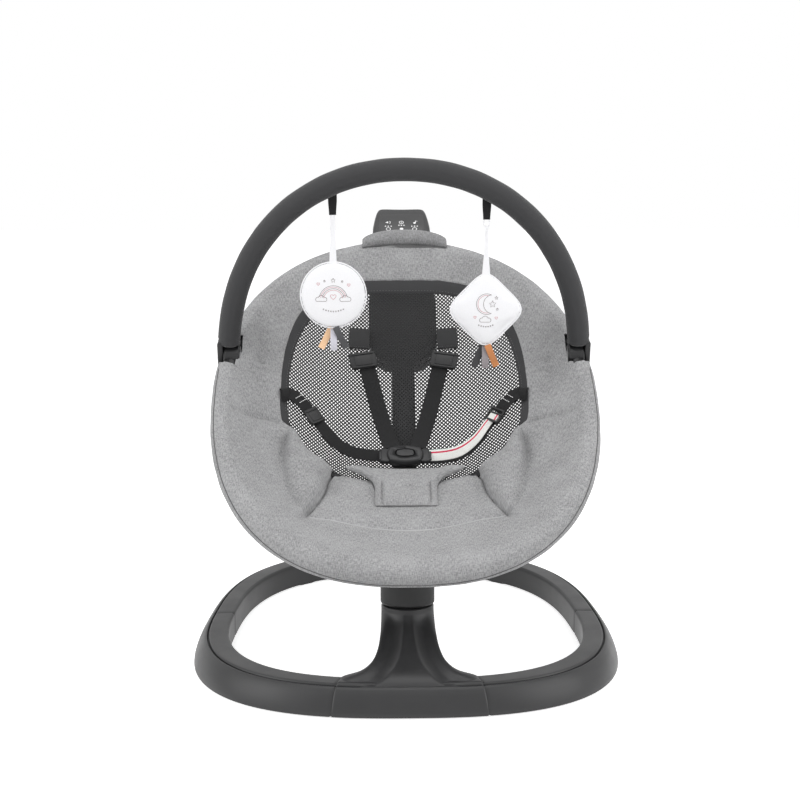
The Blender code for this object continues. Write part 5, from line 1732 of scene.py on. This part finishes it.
class SWING_OT_toy_bar(bpy.types.Operator):
    """Model the padded sleeve of the toy bar"""
    bl_idname = "swing.toy_bar"
    bl_label = "Toy bar"

    def execute(self, context):
        start = math.asin((SLEEVE_END / BAR_RISE) ** (BAR_FULLNESS / 2))
        rows, sides = 300, 40
        path = [bar_point(turn) for turn in spaced(math.pi - start, start, rows)]
        travelled = [0.0]
        for before, after in zip(path, path[1:]):
            travelled.append(travelled[-1] + (after - before).length)
        length = travelled[-1]

        def place(u, v):
            index = round(v * rows)
            ahead = path[min(index + 1, rows)] - path[max(index - 1, 0)]
            along = ahead.normalized()
            out = Vector((-along.z, 0, along.x))
            turn = 2 * math.pi * u
            from_end = min(travelled[index], length - travelled[index])
            radius = SLEEVE_RADIUS - 0.0008 - end_rounding(from_end, 0.0050)
            radius -= 0.0010 * bell(from_end - 0.0085, 0.0016)
            radius -= 0.0060 * smooth(math.sin(turn)) * (1 - smooth(from_end / 0.018))
            radius -= 0.0005 * bell(math.sin((turn + math.pi / 2) / 2), 0.06)
            around = Vector((0, math.cos(turn), math.sin(turn))) * 0.012
            radius += cloth_ripple(path[index] + around, 40.0, 0.0004)
            aim = out * math.cos(turn) - FORWARD * math.sin(turn)
            return path[index] + aim * max(radius, 0.006)

        bm = close_ends(grid_form(sides, rows, place, (2 * math.pi * SLEEVE_RADIUS, length)))
        cloth = black_cloth("sleeve_cloth", True, tint(colours().black_cloth, 0.95), 0.0009)
        sleeve = finish_piece("toy_bar_padding", bm, cloth, "toy_bar", bar_place(),
                              ["toy_bar_sleeve"])
        return {"FINISHED"}


def circle_line(x, z, radius, start=0.0, end=360.0, steps=28):
    """Points of an arc in a toy's plane, from start to end in degrees."""
    return [(x + radius * math.cos(math.radians(turn)), z + radius * math.sin(math.radians(turn)))
            for turn in spaced(start, end, steps)]


def star_line(x, z, radius, points=5, waist=0.45):
    line = []
    for step in range(2 * points + 1):
        turn = math.pi * (0.5 + step / points)
        reach = radius * (waist if step % 2 else 1.0)
        line.append((x + reach * math.cos(turn), z + reach * math.sin(turn)))
    return line


def cloud_line(x, z, size):
    """A small cloud: three bumps on a flat base."""
    line = circle_line(x - size * 0.62, z, size * 0.42, 235, 75, 10)
    line += circle_line(x, z + size * 0.22, size * 0.55, 150, 30, 12)
    line += circle_line(x + size * 0.62, z, size * 0.42, 105, -55, 10)
    return line + [line[0]]


def heart_line(x, z, size, steps=24):
    line = []
    for turn in spaced(0.0, 2 * math.pi, steps):
        rise = 0.81 * math.cos(turn) - 0.31 * math.cos(2 * turn) - 0.12 * math.cos(3 * turn)
        line.append((x + size * math.sin(turn) ** 3, z + size * rise))
    return line


# Widths of the white tapes against the share of their length, from the top.
TAPE_WIDTHS = {"left": [(0.0, 0.0072), (0.4, 0.0078), (1.0, 0.0108)],
               "right": [(0.0, 0.0050), (0.30, 0.0052), (0.55, 0.0070), (1.0, 0.0125)]}
RIBBON_LENGTH = 0.0345


class SWING_OT_toys(bpy.types.Operator):
    """Model the two hanging toys, their straps, ribbons and drawn motifs"""
    bl_idname = "swing.toys"
    bl_label = "Hanging toys"

    def execute(self, context):
        self.toy("left", self.disc, *self.rainbow())
        self.toy("right", self.diamond, *self.moon())
        for side in ("left", "right"):
            self.hanger(side)
        self.ribbons("left", 0.42, [(0.94, 0.60, 0.36), (0.66, 0.65, 0.72), (0.065, 0.065, 0.07)])
        self.ribbons("right", 0.36, [(0.020, 0.020, 0.022), (0.30, 0.27, 0.28), (0.62, 0.24, 0.08)])
        return {"FINISHED"}

    def rainbow(self):
        """Grey and pink lines of a rainbow on clouds, with hearts, stars and a dotted garland."""
        grey = [circle_line(0, -0.0065, radius, 12, 168) for radius in (0.0205, 0.0162)]
        pink = [circle_line(0, -0.0065, radius, 10, 170) for radius in (0.0184, 0.0140)]
        grey += [cloud_line(x, -0.0060, 0.0078) for x in (-0.0175, 0.0175)]
        pink += [heart_line(*heart) for heart in ((0, -0.0020, 0.0042), (-0.0215, 0.0165, 0.0022),
                                                  (0.0225, 0.0150, 0.0022))]
        grey += [star_line(*star) for star in ((0, 0.0215, 0.0034), (-0.0125, 0.0205, 0.0018),
                                               (0.0130, 0.0200, 0.0018))]
        return grey + self.garland(4, 0.0036, -0.0235, 0.00020), pink

    def moon(self):
        """Grey and pink lines of a moon with stars, a cloud, hearts and a dotted garland."""
        moon = (circle_line(0.001, 0.0085, 0.0150, 62, 298)
                + circle_line(0.0100, 0.0085, 0.0137, 255, 105))
        grey = [moon + [moon[0]]]
        grey += [star_line(*star) for star in ((0.0095, 0.0085, 0.0052), (0.0150, 0.0175, 0.0026),
                                               (0.0165, 0.0010, 0.0020))]
        grey.append(cloud_line(-0.0010, -0.0150, 0.0080))
        pink = [circle_line(0.001, 0.0085, 0.0128, 80, 280), heart_line(-0.0160, -0.0105, 0.0020),
                heart_line(0.0150, -0.0115, 0.0020)]
        return grey + self.garland(3, 0.0034, -0.0245, 0.00025), pink

    def garland(self, half, pitch, z, sag):
        return [circle_line(step * pitch, z + sag * step ** 2, 0.0008, steps=8)
                for step in range(-half, half + 1)]

    def disc(self, turn):
        return Vector((DISC_RADIUS * math.sin(turn), 0, DISC_RADIUS * math.cos(turn)))

    def diamond(self, turn):
        """A square with rounded corners and bowed sides, stood on a corner."""
        x = DIAMOND_HALF * signed_power(math.cos(turn), 2 / 4.6)
        z = DIAMOND_HALF * signed_power(math.sin(turn), 2 / 4.6)
        half = math.sqrt(0.5)
        return Vector(((x - z) * half, 0, (x + z) * half))

    def centre(self, side):
        hook = hook_place(side)
        return Vector((hook.x, hook.y, TOYS[side]["height"]))

    def toy(self, side, outline, grey, pink):
        def place(u, v):
            edge = outline(2 * math.pi * u)
            turn = math.pi * v
            share = math.sin(turn) ** 0.55
            return Vector((edge.x * share, 0.0046 * math.cos(turn), edge.z * share))

        bm = grid_form(96, 24, place, (0.3, 0.1))
        cloth = white_cloth("toy_cotton_" + side)
        hook = Matrix.Translation(self.centre(side))
        body = side + "_hanging_toy"
        toy = finish_piece(side + "_toy_pad", bm, cloth, body, hook,
                           [side + "_toy"])
        inflate(toy, 0.0026, 3.0, 0.003)
        path = [outline(turn) * 1.004 for turn in spaced(0.0, 2 * math.pi, 160)]

        def seam(u, v):
            index = round(v * 160)
            ahead = (path[(index + 1) % 160] - path[index - 1 if index else 159]).normalized()
            out = Vector((ahead.z, 0, -ahead.x))
            turn = 2 * math.pi * u
            return path[index] + out * math.cos(turn) * 0.0010 - FORWARD * math.sin(turn) * 0.0007

        finish_piece(side + "_toy_seam", grid_form(10, 160, seam, (0.005, 0.3)), cloth, body,
                     hook)
        bpy.context.view_layer.update()
        for name, lines, colour in (("grey", grey, (0.20, 0.155, 0.16)),
                                    ("pink", pink, (0.60, 0.27, 0.30))):
            self.motif(side, name, lines, printed(f"{side}_{name}_print", colour), toy)

    def motif(self, side, name, lines, ink, toy):
        """Thin drawn lines laid on the front of a toy."""
        tree = BVHTree.FromPolygons([vert.co for vert in toy.data.vertices],
                                    [polygon.vertices[:] for polygon in toy.data.polygons])
        centre = self.centre(side)
        bm = bmesh.new()
        for line in lines:
            path = []
            for x, z in line:
                hit = tree.ray_cast(centre + Vector((x, -0.05, z)), -FORWARD)[0]
                path.append(hit + FORWARD * 0.00012)
            add_form(bm, strap_form(path, [FORWARD] * len(path), 0.00058, 0.0003, 6))
        finish_piece(f"{side}_toy_{name}_motif", bm, ink, side + "_hanging_toy")

    def hanger(self, side):
        """The elastic out of the sleeve, and the white tape sewn to the toy's top edge."""
        hook = hook_place(side)
        body = side + "_hanging_toy"
        path = [hook + UP * height for height in spaced(0.0090, ELASTIC_FOOT, 24)]
        bm = strap_form(path, [FORWARD] * 25, 0.0128, 0.0022)
        for vert in bm.verts:
            down = (hook.z - vert.co.z) / -ELASTIC_FOOT
            vert.co.x = hook.x + (vert.co.x - hook.x) * mix(1.0, 0.80, smooth(down))
        band = finish_piece(side + "_elastic_band", bm, webbing("elastic_webbing_" + side), None,
                            None, [side + "_elastic"])
        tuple(path[4])
        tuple(path[14])
        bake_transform(band)
        top = hook.z + ELASTIC_FOOT + 0.004
        foot = TOYS[side]["height"] + TOYS[side]["reach"] - 0.006
        if side == "right":
            path = [Vector((hook.x + 0.0042 * math.sin(turn), hook.y,
                            top - 0.0075 + 0.0075 * math.cos(turn)))
                    for turn in spaced(0.0, 2 * math.pi, 32)]
            finish_piece("right_toy_loop", strap_form(path, [FORWARD] * 33, 0.0020, 0.0014, 10),
                         white_cloth("loop_cotton"), body)
            top -= 0.0130
        path = [Vector((hook.x, hook.y, height)) for height in spaced(top, foot, 24)]
        bm = strap_form(path, [FORWARD] * 25, 1.0, 0.0018)
        for vert in bm.verts:
            width = follow(TAPE_WIDTHS[side], (top - vert.co.z) / (top - foot))
            vert.co.x = hook.x + (vert.co.x - hook.x) * width
        tape = white_cloth("tape_cotton_" + side)
        finish_piece(side + "_toy_tape", bm, tape, body)

    def ribbons(self, side, spread, shades):
        centre = self.centre(side)
        top = centre.z - TOYS[side]["reach"] + 0.003
        for index, shade in enumerate(shades):
            turn = (index - 1) * spread
            aside = Vector((math.sin(turn), 0, -math.cos(turn)))
            path = []
            for down in spaced(0.0, RIBBON_LENGTH, 24):
                sway = 0.0022 * math.sin(down * 110 + index * 1.9) - 0.0012 * (index - 1)
                curl = 0.0016 * (down / RIBBON_LENGTH) ** 2 * (index - 1)
                start = Vector((centre.x + (index - 1) * 0.003 + curl, centre.y + sway, top))
                path.append(start + aside * down)
            bm = strap_form(path, [FORWARD] * 25, 0.0098, 0.0007, 12)
            name = f"{side}_ribbon_{index + 1}"
            ribbon = finish_piece(name, bm, ribbon_cloth(name + "_satin", shade),
                                  side + "_hanging_toy", replaces=[side + "_ribbons"])


class SWING_OT_finishes(bpy.types.Operator):
    """Give every solid that stays in sight its moulded, metal or rubber finish"""
    bl_idname = "swing.finishes"
    bl_label = "Finishes of the solids"

    def execute(self, context):
        black = moulded("black_moulding", colours().black_plastic, 0.42)
        rubber = moulded("grip_rubber", (0.012, 0.012, 0.012), 0.85, 0.3)
        steel = bare_metal("drawn_steel", (0.56, 0.56, 0.57), 0.28)
        copper = bare_metal("wound_copper", (0.72, 0.36, 0.18), 0.35)
        board = moulded("board_green", (0.05, 0.22, 0.10), 0.4)
        tube = moulded("coated_tube", (0.02, 0.02, 0.021), 0.35)
        feet = ["foot_" + place for place in ("front_left", "front_right", "side_left",
                                              "side_right", "rear_left", "rear_right")]
        for material, nodes in (
                (black, ["side_hub_left", "side_hub_right", "toy_bar_end_left",
                         "toy_bar_end_right", "speaker", "power_socket"]),
                (steel, ["front_bracket", "pivot_shaft", "drive_magnet", "bearing_lower",
                         "bearing_upper", "toy_bar_tube"]),
                (tube, ["frame_tube_front", "frame_tube_head"]),
                (copper, ["drive_coil"]), (board, ["control_board"]), (rubber, feet)):
            for name in nodes:
                self.dress(name, material)
        return {"FINISHED"}

    def dress(self, name, material):
        mesh = bpy.data.objects[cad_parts[name].name].data
        mesh.materials.clear()
        mesh.materials.append(material)


class SWING_PT_panel(bpy.types.Panel):
    """Lists the pieces, sizes and colours of the baby swing"""
    bl_idname = "SWING_PT_panel"
    bl_label = "Baby Swing"
    bl_space_type = "VIEW_3D"
    bl_region_type = "UI"
    bl_category = "Baby Swing"

    def draw(self, context):
        layout = self.layout
        for operator in OPERATORS:
            layout.operator(operator.bl_idname)
        for group in (context.scene.swing_sizes, context.scene.swing_colours):
            for name in group.__annotations__:
                layout.prop(group, name)


OPERATORS = (SWING_OT_stage, SWING_OT_base, SWING_OT_collar, SWING_OT_spine, SWING_OT_cover,
             SWING_OT_net, SWING_OT_binding, SWING_OT_flap, SWING_OT_control, SWING_OT_crotch_pad,
             SWING_OT_harness, SWING_OT_buckle, SWING_OT_toy_bar, SWING_OT_toys, SWING_OT_finishes)
CLASSES = (SwingSizes, SwingColours, *OPERATORS, SWING_PT_panel)


def register():
    for item in CLASSES:
        bpy.utils.register_class(item)
    bpy.types.Scene.swing_sizes = bpy.props.PointerProperty(type=SwingSizes)
    bpy.types.Scene.swing_colours = bpy.props.PointerProperty(type=SwingColours)


def unregister():
    del bpy.types.Scene.swing_colours
    del bpy.types.Scene.swing_sizes
    for item in reversed(CLASSES):
        bpy.utils.unregister_class(item)


def main():
    register()
    for operator in OPERATORS:
        group, name = operator.bl_idname.split(".")
        getattr(getattr(bpy.ops, group), name)()


if __name__ == "__main__":
    main()
